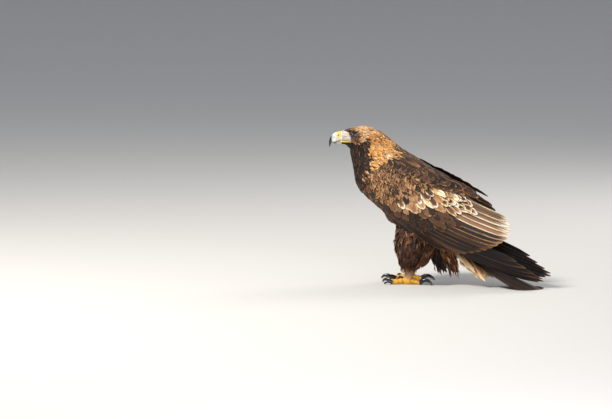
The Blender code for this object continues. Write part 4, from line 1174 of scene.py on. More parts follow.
def make_head_coat():
    coat, rng, u, angle, p = start_trunk_coat("head", HACKLE)
    forward, up, out = head_place(p)
    on_eye = np.hypot(forward - EYE[0] + 0.002, (up - EYE[1]) * 1.15) < 0.0078
    on_mouth = (forward > 0.046) & (np.abs(up + 0.0075) < 0.0030) & (out > 0.010)
    keep = ~(on_eye & (out > 0.015)) & ~on_mouth
    u, angle, p, forward, up, out = (x[keep] for x in (u, angle, p, forward, up, out))
    n = len(u)
    brow = over_brow(forward, up)
    lores = (forward > 0.050) & (up > -0.0045) & (brow < 0.0)
    length = np.interp(u, *HEAD_LENGTH) * rng.uniform(0.85, 1.15, n)
    width = np.where(lores, LORES_WIDTH, length * np.interp(u, *HEAD_SLENDER))
    length = np.where(lores, LORES_LENGTH, length)
    lean = np.interp(u, *HEAD_LEAN) * np.cos(angle)
    turn = math.pi - lean + rng.normal(0, 0.14, n) + lores * rng.normal(0, 0.35, n)
    tones = head_tones(p, rng)
    ridge = soft_step(0.0045, 0.0015, np.abs(brow - 0.0052)) * (forward > 0.040) * (forward < 0.064)
    rise = np.interp(u, *HEAD_RISE) + 0.0022 * ridge * (out > 0.012)
    heights = np.concatenate([heights_for(HEAD_SINK, r, 1) for r in rise])
    heights = heights + rng.normal(0, HEAD_UNEVEN, (n, 1))
    look = (turn, length, width, heights, tones)
    finish_trunk_coat(coat, u, angle, p, look, rng.normal(0, 0.06, n))


def make_vent_coat():
    """Long loose feathers that hang behind the legs, dark in front and rusty to cream at the rear."""
    rng = np.random.default_rng(SEEDS["vent"])
    coat = Coat("coat_vent", "lock", HACKLE)
    rows, round_it = 11, 44
    height = np.repeat(np.linspace(VENT_TOP - 0.012, VENT_FOOT + 0.002, rows), round_it)
    angle = np.tile(np.arange(round_it), rows) + 0.5 * np.repeat(np.arange(rows) % 2, round_it)
    n = len(angle)
    angle = (angle + rng.uniform(-0.3, 0.3, n)) * 2 * math.pi / round_it
    height = height + rng.uniform(-0.003, 0.003, n)
    rear = np.cos(angle) + rng.normal(0, 0.25, n)
    dark = mixed(rng, n, "vent")
    centre = blend(dark, mixed(rng, n, "vent_rear"), soft_step(0.35, 0.85, rear))
    centre = vary(rng, centre, 0.15)
    tones = (centre, lighter(centre, 1.6, 0.6), 0.30, 0.3)
    length = 0.046 * rng.uniform(0.7, 1.25, n)
    width = 0.0078 * rng.uniform(0.8, 1.2, n)
    heights = heights_for(*VENT_STAND, n) + lifted(np.abs(rng.normal(0, 0.0035, n)))
    look = (math.pi + rng.normal(0, 0.16, n), length, width, heights, tones)
    place = (height / 0.3, turn_share(angle))
    bend = rng.normal(0, 0.10, n)
    cover(coat, VENT, height, angle, vent_draw(height, angle), place, look, bend)
    coat.finish()


def make_thigh_coat(word):
    rng = np.random.default_rng(SEEDS[word])
    coat = Coat("coat_thigh_" + word, "lock", HACKLE, ["thigh_" + word, "shin_" + word])
    surface = THIGHS[word]
    heights_at, angles = [], []
    (height, end), row = THIGH_SPAN, 0
    while height > end:
        ring = surface.draw(np.full(60, height), np.linspace(0, FULL_TURN, 60))
        round_it = np.linalg.norm(np.diff(ring, axis=0), axis=1).sum()
        count = max(10, round(round_it / THIGH_ACROSS))
        spots = (np.arange(count) + 0.5 * (row % 2) + rng.uniform(-0.3, 0.3, count)) / count
        angles.append(spots * 2 * math.pi)
        heights_at.append(height + rng.uniform(-0.003, 0.003, count))
        height -= THIGH_ALONG
        row += 1
    height, angle = np.concatenate(heights_at), np.concatenate(angles)
    p = surface.draw(height, angle)
    n = len(angle)
    behind = np.clip(np.cos(angle), 0, 1)
    length = np.interp(height, *THIGH_LENGTH) * (1 + 0.25 * behind) * rng.uniform(0.75, 1.2, n)
    turn = math.pi + rng.normal(0, 0.12, n)
    patch = soft_step(0, 1, wobble(p, 0.030, 11) + wobble(p, 0.009, 12))
    centre = blend(mixed(rng, n, "thigh"), COLOURS["umber"], 0.3 * patch)
    low = soft_step(0.085, 0.055, height)
    centre = vary(rng, blend(centre, COLOURS["tan"], low * 0.6), 0.20)
    tones = (centre, blend(lighter(centre, 1.9, 0.5), COLOURS["rust"], 0.25), 0.30, 0.3)
    heights = uneven(rng, *THIGH_STAND, n)
    loose = np.abs(rng.normal(0, 0.0028, n)) + 0.012 * behind * soft_step(0.08, 0.16, height)
    look = (turn, length, np.interp(height, *THIGH_WIDTH), heights + lifted(loose), tones)
    place = (height / 0.5, turn_share(angle))
    cover(coat, surface, height, angle, p, place, look, rng.normal(0, 0.10, n))
    grow_shin(coat, SHINS[word], rng)
    coat.finish()


def grow_shin(coat, surface, rng):
    """Short buff feathers down the shin to the toes."""
    rows, round_it = 12, 22
    height = np.repeat(np.linspace(0.062, 0.022, rows), round_it)
    angle = np.tile(np.arange(round_it) / round_it, rows) * 2 * math.pi
    angle = angle + np.repeat(np.arange(rows) % 2, round_it) * math.pi / round_it
    n = len(angle)
    height = height + rng.uniform(-0.0015, 0.0015, n)
    centre = vary(rng, np.tile(blend(COLOURS["sand"], COLOURS["tan"], 0.35), (n, 1)), 0.15)
    tones = (centre, blend(centre, COLOURS["cream"], 0.6), 0.5, 0.1)
    length = 0.0115 * rng.uniform(0.85, 1.2, n)
    turn = math.pi + rng.normal(0, 0.12, n)
    look = (turn, length, 0.0050, heights_for(*SHIN_STAND, n), tones)
    place = (0.55 + height, turn_share(angle))
    cover(coat, surface, height, angle, surface.draw(height, angle), place, look, np.zeros(n))


# Wings


def wing_tones(tract, side, s, t, rng):
    """Colours of the wing's coverts, by tract and by where their tips lie."""
    n = len(s)
    fine = rng.normal(0, 1, n)
    (line_s, line_t), (end_s, end_t) = DARK_LINE
    above_line = t - line_t - (s - line_s) * (end_t - line_t) / (end_s - line_s)
    dark = soft_step(0.002, -0.016, above_line + 0.006 * fine)
    pale = soft_step(0.034, 0.008, np.abs(above_line - 0.030)) * soft_step(0.085, 0.125, s)
    look = "lesser" if tract == "marginal" else tract
    centre, edge = mixed(rng, n, look), mixed(rng, n, look + "_edge")
    if look == "median":
        edge = blend(edge, COLOURS["white"], pale * (rng.random(n) < 0.40))
    fringe = rng.uniform(*FRINGES[look], n) if look in FRINGES else PLAIN_FRINGE
    if look == "lesser":
        past_edge = 0.79 * (s + 0.032) - 0.61 * (t - 0.105)
        front = soft_step(0.017, 0.006, past_edge) * soft_step(0.075, 0.095, t)
        edge = blend(edge, COLOURS["cream"], np.maximum(front, 0.4 * pale))
        fringe = np.maximum(fringe, 0.75 * front)
    elif look == "scapular":
        grizzled = np.exp(-(((s - 0.120) / 0.022) ** 2) - ((t - 0.186) / 0.007) ** 2) * (side < 0)
        edge = blend(edge, COLOURS["white"], np.clip(1.6 * grizzled, 0, 1))
        fringe = fringe + 0.2 * grizzled
    if look in ("inner", "scapular"):
        dark = 0 * dark
    centre = blend(centre, mixed(rng, n, "deep"), dark)
    edge = blend(edge, COLOURS["brown"], dark * 0.85)
    fringe = fringe * (1 - dark) + 0.16 * dark
    return vary(rng, centre, 0.15), vary(rng, edge, 0.15), fringe, 1.0 if look == "inner" else 0.5


def lerp(a, b, share):
    return np.asarray(a, float) + (np.asarray(b, float) - np.asarray(a, float)) * share


def make_coverts(side, word):
    coat = Coat("coverts_" + word, "covert", FEATHER, ["wing_" + word])
    rng = np.random.default_rng(SEEDS["coverts"] + side)
    surface = WINGS[side]
    for tract, (first, last, (rows, lengths, widths, turns, apart, rise)) in COVERT_TRACTS.items():
        coat.form = "pointed" if tract in ("marginal", "lesser") else "covert"
        for row in range(rows):
            share = row / (rows - 1)
            start, end = lerp(first, last, share)
            count = max(3, round(float(np.linalg.norm(end - start)) / apart))
            spots = (np.arange(count) + 0.5 * (row % 2)) / (count - 0.5)
            spots = np.clip(spots + rng.normal(0, 0.14, count) / count, 0, 1.0)
            s, t = (start + (end - start) * spots[:, None]).T
            length = lerp(*lengths, share) * rng.uniform(0.84, 1.14, count)
            width = lerp(*widths, share) * rng.uniform(0.84, 1.08, count)
            turn = np.radians(lerp(*turns, share) + rng.normal(0, 5.0, count))
            tip_s, tip_t = s + length * np.cos(turn), t + length * np.sin(turn)
            tones = wing_tones(tract, side, tip_s, tip_t, rng)
            heights = uneven(rng, COVERT_SINK, rise, COVERT_UNEVEN, count)
            more = {"roll": -0.06, "bend": rng.normal(0, 0.03, count)}
            more["place"] = ((s + 0.06) / 0.7, (t + 0.05) / 0.25)
            coat.grow(surface, s, t, turn, length, width, heights, tones, **more)
            note_skin(surface.draw(s, t) - [0, side * 0.004, 0], tones[0])
    coat.finish()


def grow_between(coat, surface, root, tip, width, heights, tones, roll=0.0):
    """Feathers from root to tip, both pairs on the surface, in a row on the bake map."""
    n = len(root)
    run_a, run_b = (np.asarray(tip, float) - root).T
    turn, length = np.arctan2(run_b, run_a), np.hypot(run_a, run_b)
    place = ((np.arange(n) + 0.5) / n, np.full(n, 0.5))
    a, b = root.T
    coat.grow(surface, a, b, turn, length, width, heights, tones, place=place, roll=roll)


def grow_secondaries(coat, side, rng):
    """Secondaries and tertials, those nearest the back with pale edges."""
    share = np.linspace(0, 1, SECONDARIES)
    n = len(share)
    tips = SECONDARY_TIPS[side]
    t = lerp(*SECONDARY_T, share)
    s = np.minimum(QUILL_FROM[0] + (t - QUILL_FROM[1]) / QUILL_SLOPE, TERTIAL_ROOT)
    tip_s = curve_at(np.linspace(0, 1, len(tips)), tips, share)
    tip = np.stack([tip_s, t + 0.012 * (1 - share)], 1)
    pale = soft_step(0.58, 0.82, share) * (0.9 if side < 0 else 0.4) * rng.uniform(0.6, 1.0, n)
    centre = mixed(rng, n, "secondary")
    centre = vary(rng, blend(centre, COLOURS["tan"], pale * 0.6), 0.20)
    edge = blend(mixed(rng, n, "secondary_edge"), COLOURS["white"], pale)
    tones = (centre, edge, 0.20 + 0.38 * pale * rng.uniform(0.6, 1.2, n), 1.0)
    level = -0.0018 + 0.0012 * share
    heights = [-0.0085 + 0 * level, level - 0.001, level, level + 0.0004, level + 0.0008]
    heights = np.stack(heights, 1)
    root = np.stack([s, t], 1)
    grow_between(coat, WINGS[side], root, tip, 0.0290, heights, tones, -0.085)


def grow_primaries(coat, side, rng):
    count = len(PRIMARY_TIPS)
    order = np.arange(count)
    root = np.stack([PRIMARY_ROOT[0] - 0.012 * order, PRIMARY_ROOT[1] + 0.010 * order], 1)
    level = -0.0048 - 0.0013 * (count - 1 - order)
    heights = np.stack([level - 0.006, level, level, level, level + 0.0002], 1)
    centre = vary(rng, np.tile(COLOURS["black"], (count, 1)), 0.15)
    tones = (centre, mixed(rng, count, "primary_edge"), 0.16, 0.8)
    grow_between(coat, WINGS[side], root, PRIMARY_TIPS, 0.0245, heights, tones, -0.055)


def grow_hand(coat, side, rng):
    """The primary coverts and the alula."""
    count = 8
    share = np.linspace(0, 1, count)
    root = np.stack([lerp(-0.020, 0.130, share), lerp(0.018, 0.004, share)], 1)
    tip = root + np.stack([lerp(0.080, 0.165, share), lerp(-0.026, -0.020, share)], 1)
    heights = np.stack([-0.0080 + 0 * share] + [lerp(0.0012, 0.0036, share)] * 4, 1)
    centre = vary(rng, mixed(rng, count, "hand"), 0.14)
    tones = (centre, mixed(rng, count, "hand_edge"), 0.20, 0.8)
    grow_between(coat, WINGS[side], root, tip, 0.0210, heights, tones, -0.06)


def make_quills(side, word):
    coat = Coat("quills_" + word, "quill", QUILL)
    rng = np.random.default_rng(SEEDS["quills"] + side)
    for form, grow in (("quill", grow_secondaries), ("primary", grow_primaries), ("quill", grow_hand)):
        coat.form = form
        grow(coat, side, rng)
    coat.finish()


# Tail


def make_tail():
    coat = Coat("tail_quills", "quill", QUILL, ["tail"])
    rng = np.random.default_rng(SEEDS["tail"])
    order = np.arange(TAIL_FEATHERS)
    side, rank = np.where(order % 2, 1, -1), order // 2
    turn = np.radians(TAIL_SPREAD) * side * (rank + 0.5) / (TAIL_FEATHERS / 2 - 0.5)
    length = TAIL_LENGTH - 0.0011 * rank**2 - TAIL_FEATHER_ROOT
    root = np.stack([np.full(TAIL_FEATHERS, TAIL_FEATHER_ROOT), side * 0.0022 * rank], 1)
    tip = root + np.stack([length, length * np.tan(turn)], 1)
    heights = np.stack([TAIL_TOP - TAIL_STEP * order] * len(FORM_SHARES), 1)
    centre = vary(rng, mixed(rng, TAIL_FEATHERS, "tail"), 0.12)
    tones = (centre, COLOURS["brown"], 0.18, 0.8)
    grow_between(coat, TAIL, root, tip, 0.0350, heights, tones)
    settle(coat.finish())
    make_tail_coverts(rng)


def make_tail_coverts(rng):
    coat = Coat("tail_coverts", "body", FEATHER)
    half = 0.026
    for above, low, high in ((True, -0.0028, 0.0030), (False, -0.0145, -0.0400)):
        rows, count = (6, 9) if above else (9, 13)
        s = np.repeat(np.linspace(0.0, 0.075, rows), count)
        v = np.tile(np.linspace(-half, half, count), rows) + rng.normal(0, 0.002, rows * count)
        n = len(s)
        length = (0.060 if above else 0.085) * rng.uniform(0.85, 1.15, n)
        turn = v / half * 0.20 + rng.normal(0, 0.05, n)
        if above:
            centre, edge = np.tile(COLOURS["umber"], (n, 1)), COLOURS["tan"]
        else:
            centre, edge = mixed(rng, n, "undertail"), mixed(rng, n, "undertail_edge")
        tones = (vary(rng, centre, 0.15), edge, 0.35, 0.5)
        loose = rng.normal(0, 0.0008 if above else 0.0050, n)
        heights = np.linspace(low, high, len(FORM_SHARES)) + lifted(loose, 1.5)
        place = ((s + 0.1) / 0.5, (v + 0.05) / 0.1 * 0.45 + (0.5 if above else 0.0))
        width = 0.020 if above else 0.014
        coat.grow(TAIL, s, v, turn, length, width, heights, tones, place=place)
        note_skin(tail_draw(s, v), centre)
    coat.finish()


def settle(obj):
    """Lets the tail's tips down until the lowest lies on the floor, bending it evenly."""
    mesh = obj.data
    points = np.zeros(len(mesh.vertices) * 3, np.float32)
    mesh.vertices.foreach_get("co", points)
    points = points.reshape(-1, 3)
    share = np.clip((points[:, 0] - SHIFT[0] - TAIL_ROOT[0]) / 0.2, 0, 1)
    points[:, 2] -= points[:, 2].min() * share
    mesh.vertices.foreach_set("co", points.ravel())
    mesh.update()


# Skin


def ring_faces(count, sides):
    """Vertex numbers of a stack of rings, the same turned by one, and the triangles between rings."""
    index = np.arange(count * sides).reshape(count, sides)
    turned = np.roll(index, -1, axis=1)
    lower = np.stack([index[:-1], turned[:-1], turned[1:]], -1)
    upper = np.stack([index[:-1], turned[1:], index[1:]], -1)
    return index, turned, [lower.reshape(-1, 3), upper.reshape(-1, 3)]


def tube(rings):
    """Points and triangles of a closed tube through rings."""
    rings = np.asarray(rings)
    count, sides = rings.shape[:2]
    index, turned, faces = ring_faces(count, sides)
    points = np.concatenate([rings.reshape(-1, 3), rings[[0, -1]].mean(axis=1)])
    first, last = np.full(sides, count * sides), np.full(sides, count * sides + 1)
    faces.append(np.stack([turned[0], index[0], first], -1))
    faces.append(np.stack([index[-1], turned[-1], last], -1))
    return points, np.concatenate(faces)


def inset_tube(surface, places, angles, depth):
    """A closed tube that runs a little inside a surface."""
    rings = []
    for place in places:
        p, normal, _, _ = surface.at(np.full(len(angles), place), angles)
        rings.append(p - normal * depth)
    return tube(rings)


def arm_block(side):
    """The arm and hand inside a folded wing, as a tube of flat rings along it."""
    rings = []
    across = np.linspace(0, 1, 20)
    for share in np.linspace(0, 1, 40):
        s = lerp(ARM_START, ARM_END[side], share)
        line = QUILL_FROM[1] + (s - 0.015 - QUILL_FROM[0]) * QUILL_SLOPE
        low = max(float(table_at(LOWER_EDGE, s)) + ARM_MARGIN, line)
        high = float(table_at(UPPER_EDGE[side], s)) - 0.008 - 0.030 * float(soft_step(0.55, 0.9, share))
        high = max(high, low + ARM_MARGIN)
        p, normal, _, _ = WINGS[side].at(np.full(20, s), lerp(low, high, across))
        thick = 0.004 + 0.011 * (1 - share * 0.9) + 0.020 * (1 - share) * (1 - (2 * across - 1) ** 2)
        outer = p - normal * ARM_DEPTH
        inner = p - normal * (ARM_DEPTH + thick)[:, None]
        rings.append(np.concatenate([outer, inner[::-1]]))
    return tube(rings)


def one_skin(name, parts, material, voxel, smoothing=0):
    """Makes one piece with an even skin out of parts that overlap, and smooths it some rounds."""
    starts = np.cumsum([0] + [len(points) for points, _ in parts[:-1]])
    faces = np.concatenate([part[1] + start for part, start in zip(parts, starts)])
    obj = mesh_object(name, np.concatenate([points for points, _ in parts]), faces, material)
    remesh = obj.modifiers.new("one_skin", "REMESH")
    remesh.mode = "VOXEL"
    remesh.voxel_size = voxel
    remesh.use_smooth_shade = True
    if smoothing:
        smooth = obj.modifiers.new("smooth", "SMOOTH")
        smooth.iterations = smoothing
        smooth.factor = 0.5
    graph = bpy.context.evaluated_depsgraph_get()
    mesh = bpy.data.meshes.new_from_object(obj.evaluated_get(graph))
    obj.modifiers.clear()
    obj.data = mesh
    return obj


def make_skin():
    """One skin over trunk, neck, head, legs, belly tuft, tail root and the arms of the folded wings."""
    angles = np.linspace(0, FULL_TURN, 96, endpoint=False)
    # The legs' tubes go five sixths of the way round and are closed by a flat side.
    part_round = angles[:80:2]
    rings = []
    for u in np.linspace(-0.4, BILL_STATION, 190):
        p, normal, _, _ = TRUNK_SURFACE.at(np.full(96, u), angles)
        rings.append(p - normal * np.interp(u, *SKIN_INSET))
    parts = [tube(rings), arm_block(-1), arm_block(1)]
    for word in FEET:
        parts.append(inset_tube(THIGHS[word], np.linspace(0.228, 0.056, 40), part_round, 0.0015))
        shin = np.linspace(SHIN_TOP, SHIN_FOOT, 16)
        parts.append(inset_tube(SHINS[word], shin, part_round, 0.0005))
    heights = np.linspace(VENT_TOP + 0.010, VENT_FOOT, 20)
    parts.append(inset_tube(VENT, heights, part_round, 0.004))
    rings = []
    for s in np.linspace(-0.02, 0.085, 12):
        p, normal, _, _ = TAIL.at(np.full(24, s), 0.028 * np.cos(angles[::4]))
        rings.append(p + normal * (-0.012 + 0.009 * np.sin(angles[::4]))[:, None])
    parts.append(tube(rings))
    skin = one_skin("skin", parts, SKIN, SKIN_VOXEL, smoothing=3)
    colour_skin(skin)
    let_ride(skin, ("torso", "neck", "head"))


def colour_skin(skin):
    """Gives each point of the skin the colour of the coat's nearest roots."""
    roots, colours = np.concatenate(SKIN_POINTS), np.concatenate(SKIN_COLOURS)
    tree = kdtree.KDTree(len(roots))
    for i, p in enumerate(roots):
        tree.insert(p, i)
    tree.balance()
    values = np.ones((len(skin.data.vertices), 4))
    for i, vertex in enumerate(skin.data.vertices):
        near = [index for _, index, _ in tree.find_n(vertex.co, 3)]
        values[i, :3] = colours[near].mean(axis=0)
    set_colours(skin.data, "centre", values)


# Head parts


def dress(obj, centre, replaces=()):
    """Paints a piece by its vertices and lets it ride in place of the nodes it stands for."""
    colour = np.ones((len(obj.data.vertices), 4))
    colour[:, :3] = centre
    set_colours(obj.data, "centre", colour)
    let_ride(obj, replaces)


def bare_piece(name, shape, material, centre, replaces=(), smooth_below=60):
    dress(mesh_object(name, *shape, material, smooth_below), centre, replaces)


def bill_tube(rings, stations, sides):
    """A part of the bill as a tube, and how far forward, up and out its points lie."""
    rows = rows_at(np.arange(len(rings)), rings, np.linspace(0, len(rings) - 1, stations))
    spots = np.linspace(0, 1, sides)
    wide = np.clip(table_at(BILL_OUTLINE, spots), 0, None)
    share = np.concatenate([spots, spots[-2::-1]])
    wide = np.concatenate([wide, -wide[-2::-1]])
    made = []
    for ridge_f, ridge_u, edge_f, edge_u, half in rows:
        forward = BILL_BASE + edge_f + (ridge_f - edge_f) * share
        made.append(head_point(forward, edge_u + (ridge_u - edge_u) * share, half * wide))
    points, faces = tube(made)
    forward, up, out = head_place(points)
    return points, faces, forward - BILL_BASE, up, out


def make_bill():
    points, faces, ahead, up, _ = bill_tube(HORN_RINGS, 60, 15)
    pale = blend(COLOURS["bone"], COLOURS["horn"], soft_step(0.010, 0.018, ahead))
    hook = soft_step(0.0235, 0.0315, ahead + 0.30 * np.maximum(0, -up - 0.004))
    ridge = soft_step(0.012, 0.024, ahead) * soft_step(-0.002, 0.008, up)
    colour = blend(blend(pale, COLOURS["slate"], ridge * 0.6), COLOURS["hook"], hook)
    bare_piece("bill_horn", (points, faces), HORN, colour, ["bill_upper"])

    points, faces, ahead, _, _ = bill_tube(JAW_RINGS, 26, 9)
    colour = blend(COLOURS["grey"], COLOURS["jaw_tip"], soft_step(0.006, 0.020, ahead))
    bare_piece("bill_jaw", (points, faces), HORN, colour, ["bill_lower"])

    points, faces, ahead, up, out = bill_tube(CERE_RINGS, 24, 15)
    slot_f, slot_u = ahead - NOSTRIL[0], up - NOSTRIL[1]
    long, short = slot_f * 0.55 + slot_u * 0.83, slot_f * 0.83 - slot_u * 0.55
    hole = np.exp(-((long / 0.0030) ** 2) - (short / 0.0014) ** 2) * (out > 0.004)
    middle = head_point(ahead + BILL_BASE, up, 0 * out)
    points = points - unit(points - middle) * (hole * 0.0028)[:, None]
    pale = np.maximum(soft_step(0.0105, 0.0040, up), soft_step(0.0080, 0.0120, ahead) * 0.8)
    colour = blend(COLOURS["cere"], COLOURS["bone"], pale * 0.92)
    # Painted shade: the pressed-in nostril hole is painted near black for the shade inside it.
    colour = blend(colour, COLOURS["nostril"], np.clip(hole * 1.3, 0, 1))
    bare_piece("bill_cere", (points, faces), CERE, colour, ["cere"])


def make_gape(side, word):
    """The fleshy yellow lip from the cere back to below the eye."""
    rings = []
    turns = np.linspace(0, FULL_TURN, 16, endpoint=False)
    for share in np.linspace(-0.06, 1, 30):
        forward = BILL_BASE - GAPE_START - share * GAPE_LENGTH
        out = side * (GAPE_OUT + GAPE_SPREAD * max(share, 0.0) ** 0.8)
        radius = GAPE_RADIUS * (1 - 0.62 * max(share, 0.0) ** 2)
        fold = 1 + 0.06 * math.sin(share * 40)
        up = -0.0072 - 0.0010 * share + radius * 0.95 * fold * np.sin(turns)
        rings.append(head_point(forward, up, out + radius * np.cos(turns)))
    bare_piece("gape_skin_" + word, tube(rings), CERE, COLOURS["cere"], ["gape_" + word])


def make_eye(side, word):
    """The eyeball, and the lids as a shell round it with an almond opening."""
    centre = head_point(EYE[0], EYE[1], side * (EYE[2] - EYE_SUNK))
    look = unit(HEAD_RIGHT * side + HEAD_AHEAD * 0.25)
    above = unit(np.array((0, 0, 1.0)) - look * look[2])
    ahead = np.cross(above, look) * -side
    turns = np.linspace(0, FULL_TURN, 40, endpoint=False)
    flat = ahead * np.cos(turns)[:, None] + above * np.sin(turns)[:, None]

    def ring(polar, radius):
        polar = np.broadcast_to(polar, turns.shape)[:, None]
        return centre + (flat * np.sin(polar) + look * np.cos(polar)) * radius

    points, faces = tube([ring(polar, EYE_RADIUS) for polar in np.radians(np.linspace(2, 178, 40))])
    reach = np.linalg.norm(np.cross(points - centre, look), axis=1)
    level = np.where((points - centre) @ look > 0, reach / IRIS_RADIUS, 1.0)[:, None]
    bare_piece("eyeball_" + word, (points, faces), EYE_LOOK, level, ["eye_" + word], 80)

    opening = np.radians(36 - 8 * np.abs(np.sin(turns)) + 3 * np.cos(turns))
    wide = LID_EDGE - opening
    rings = [ring(opening + wide * share, EYE_RADIUS + lift) for share, lift in LID_RINGS]
    bare_piece("lids_" + word, ring_shell(rings), LID, blend(COLOURS["umber"], COLOURS["black"], 0.75))


def ring_shell(rings):
    """A ring-shaped band, closed back on itself, through loops of points."""
    rings = np.asarray(rings)
    count, sides = rings.shape[:2]
    index = np.arange(count * sides).reshape(count, sides)
    down, turned = np.roll(index, -1, axis=0), np.roll(index, -1, axis=1)
    both = np.roll(down, -1, axis=1)
    faces = np.stack([index, turned, both, down], -1).reshape(-1, 4)
    return rings.reshape(-1, 3), faces


# Feet


def toe_rings(word, angle, length, radius):
    """Rings along a toe: swollen at each joint, plated across the top, and flat underneath."""
    side = math.copysign(1, FEET[word][1])
    a = math.radians(FOOT_TURN[word] + angle * -side)
    direction = np.array((-math.cos(a), math.sin(a), 0.0))
    across = np.array((-direction[1], direction[0], 0.0))
    start = SHIFT + np.array((*FEET[word], 0.0)) + direction * 0.002
    turns = np.linspace(0, FULL_TURN, 28, endpoint=False)
    rings = []
    for share in np.linspace(0, 1, 70):
        run = max(0.0, (length * share - TOE_BALL) / (length - TOE_BALL))
        swell = 1.0 + TOE_SWELL * math.cos(run * TOE_JOINTS * 2 * math.pi)
        r = radius * swell * (1.0 - TOE_TAPER * run)
        plates = PLATE_DEPTH * math.sqrt(abs(math.sin(share * length / PLATE_APART * math.pi)))
        height = r * 0.86 + 0.004 * (1 - run) ** 2
        middle = start + direction * length * share + np.array((0, 0, height))
        reach = r * (0.965 + plates * np.clip(np.sin(turns), 0, 1))
        ring = middle + across * (reach * np.cos(turns))[:, None]
        ring[:, 2] += reach * np.sin(turns)
        ring[:, 2] = np.maximum(ring[:, 2], 0.0004)
        rings.append(ring)
    return rings, direction


def make_foot(word):
    foot = SHIFT + np.array((*FEET[word], 0.0))
    turns = np.linspace(0, FULL_TURN, 28, endpoint=False)
    pad = []
    for height, grow in PAD_RINGS:
        x, y = PAD_HALF[0] * grow * np.cos(turns), PAD_HALF[1] * grow * np.sin(turns)
        pad.append(foot + np.stack([x, y, 0 * turns], 1) + np.array((0, 0, height)))
    toes = [toe_rings(word, angle, length + 0.004, radius) for _, angle, length, radius, _ in TOES]
    parts = [tube(pad)] + [tube(rings) for rings, _ in toes]
    dress(one_skin("toes_" + word, parts, TOE, TOE_VOXEL), COLOURS["toe"], ["foot_" + word])
    for (toe, _, _, radius, claw), (rings, direction) in zip(TOES, toes):
        make_claw(word + "_" + toe, rings[-1], direction, claw, radius * 0.8)


def make_claw(place, end_ring, direction, length, radius):
    """A claw that arches up from the toe and comes down to a point just over the floor."""
    base = end_ring.mean(axis=0) - direction * CLAW_SUNK
    across = np.array((-direction[1], direction[0], 0.0))
    bend = length / CLAW_TURN
    start = CLAW_PITCH
    while base[2] + bend * (math.cos(start - CLAW_TURN) - math.cos(start)) < CLAW_CLEAR:
        start += math.radians(0.5)
    turns = np.linspace(0, FULL_TURN, 20, endpoint=False)
    keel = 1 - 0.12 * np.clip(-np.sin(turns), 0, 1)
    rings = []
    for share in np.linspace(-0.06, 1, 34):
        angle = start - CLAW_TURN * share
        forward = bend * (math.sin(start) - math.sin(angle)) + 0.0043
        height = bend * (math.cos(angle) - math.cos(start))
        r = radius * 1.12 * (1 - max(share, 0)) ** 0.52 + 0.0004
        middle = base + direction * forward + np.array((0, 0, height))
        normal = np.array((0, 0, math.cos(angle))) - direction * math.sin(angle)
        ring = middle + across * (r * 0.8 * np.cos(turns))[:, None]
        rings.append(ring + normal * (r * keel * np.sin(turns))[:, None])
    points, faces = tube(rings)
    points[:, 2] = np.maximum(points[:, 2], 0.0002)
    bare_piece("claw_horn_" + place, (points, faces), CLAW, COLOURS["claw"], ["claw_" + place])


# Stage


def aimed_object(name, data, place, aim):
    """A lamp or a camera at place that looks along aim."""
    obj = bpy.data.objects.new(name, data)
    obj.location = place
    obj.rotation_mode = "QUATERNION"
    obj.rotation_quaternion = Vector(aim).to_track_quat("-Z", "Y")
    bpy.context.scene.collection.objects.link(obj)
    return obj


def make_floor():
    """A pale floor that turns up into a backdrop far off, all round."""
    g = Graph("floor", Roughness=0.9)
    grain = g.noise(60.0, 6.0)
    shade = g.plus(g.times(grain, 0.05), 0.955)
    material = g.finish(g.lit(COLOURS["floor"], shade), grain, 0.0005, 0.1)
    turns = np.linspace(0, FULL_TURN, FLOOR_SIDES, endpoint=False)
    profile = [(r, 0.0) for r in (0.5, 2.0, 8.0, FLOOR_FLAT)]
    for angle in np.radians(np.arange(8, 91, 8)):
        profile.append((FLOOR_FLAT + FLOOR_CURVE * math.sin(angle), FLOOR_CURVE * (1 - math.cos(angle))))
    profile.append((FLOOR_FLAT + FLOOR_CURVE, FLOOR_CURVE + FLOOR_WALL))
    rings = [np.stack([r * np.cos(turns), r * np.sin(turns), 0 * turns + z], 1) for r, z in profile]
    points = np.concatenate([*rings, [(0, 0, 0)]])
    index, turned, faces = ring_faces(len(rings), FLOOR_SIDES)
    faces.append(np.stack([turned[0], index[0], np.full(FLOOR_SIDES, len(points) - 1)], -1))
    floor = mesh_object("floor", points, np.concatenate(faces), material, 60)


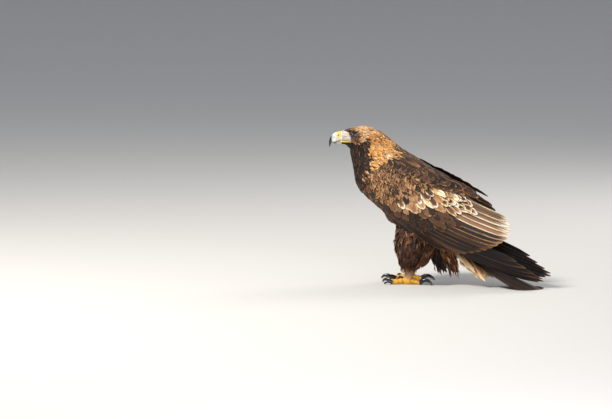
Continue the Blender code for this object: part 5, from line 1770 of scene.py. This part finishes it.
def make_light():
    """Soft lamps and an even, slightly blue light from all round."""
    bpy.context.scene.view_settings.view_transform = "Standard"
    world = bpy.data.worlds.new("studio")
    world.use_nodes = True
    background = world.node_tree.nodes["Background"]
    background.inputs["Color"].default_value = SKY_COLOUR
    background.inputs["Strength"].default_value = SKY_STRENGTH
    bpy.context.scene.world = world
    for name, (place, size, power, colour) in LAMPS.items():
        lamp = bpy.data.lights.new(name, "AREA")
        lamp.shape = "DISK"
        lamp.size = size
        lamp.energy = power
        lamp.color = colour
        aimed_object(name, lamp, place, Vector(LAMPS_AIM) - Vector(place))


def make_camera():
    """The photograph's viewing angle, with a long lens from far off."""
    turn, rise = VIEW_TURN, VIEW_RISE
    right = np.array((math.cos(turn), math.sin(turn), 0))
    up = np.array((-math.sin(turn) * math.sin(rise), math.cos(turn) * math.sin(rise), math.cos(rise)))
    back = np.array((math.sin(turn) * math.cos(rise), -math.cos(turn) * math.cos(rise), math.sin(rise)))
    across = (FRAME_WIDTH / 2 - ORIGIN_PIXEL[0]) * METRES_PER_PIXEL
    rise_up = (ORIGIN_PIXEL[1] - FRAME_HEIGHT / 2) * METRES_PER_PIXEL
    aim = SHIFT * (1, 1, 0) + right * across + up * rise_up
    camera = bpy.data.cameras.new("camera")
    camera.sensor_width = SENSOR_WIDTH
    camera.lens = SENSOR_WIDTH * CAMERA_DISTANCE / (FRAME_WIDTH * METRES_PER_PIXEL)
    camera.clip_end = SIGHT_END
    bpy.context.scene.camera = aimed_object("camera", camera, aim + back * CAMERA_DISTANCE, -back)


FEATHER = feather_material("feather", 45.0, 5.0, 0.72, 0.05, 0.30)
HACKLE = feather_material("hackle", 30.0, 6.0, 0.66, 0.06, 0.42)
QUILL = feather_material("quill", 150.0, 9.0, 0.50, 0.035, 0.06)
SKIN = skin_material()
HORN = horn_material("bill_horn", 0.28)
CLAW = horn_material("claw_horn", 0.22)
CERE = horn_material("cere", 0.42)
LID = horn_material("lid", 0.55)
TOE = toe_material()
EYE_LOOK = eye_material()

make_head_coat()
make_neck_coat()
make_body_coat()
make_vent_coat()
for leg in FEET:
    make_thigh_coat(leg)
for wing_word, wing_side in SIDES.items():
    make_coverts(wing_side, wing_word)
    make_quills(wing_side, wing_word)
    make_gape(wing_side, wing_word)
    make_eye(wing_side, wing_word)
make_tail()
make_skin()
make_bill()
for leg in FEET:
    make_foot(leg)
make_floor()
make_light()
make_camera()
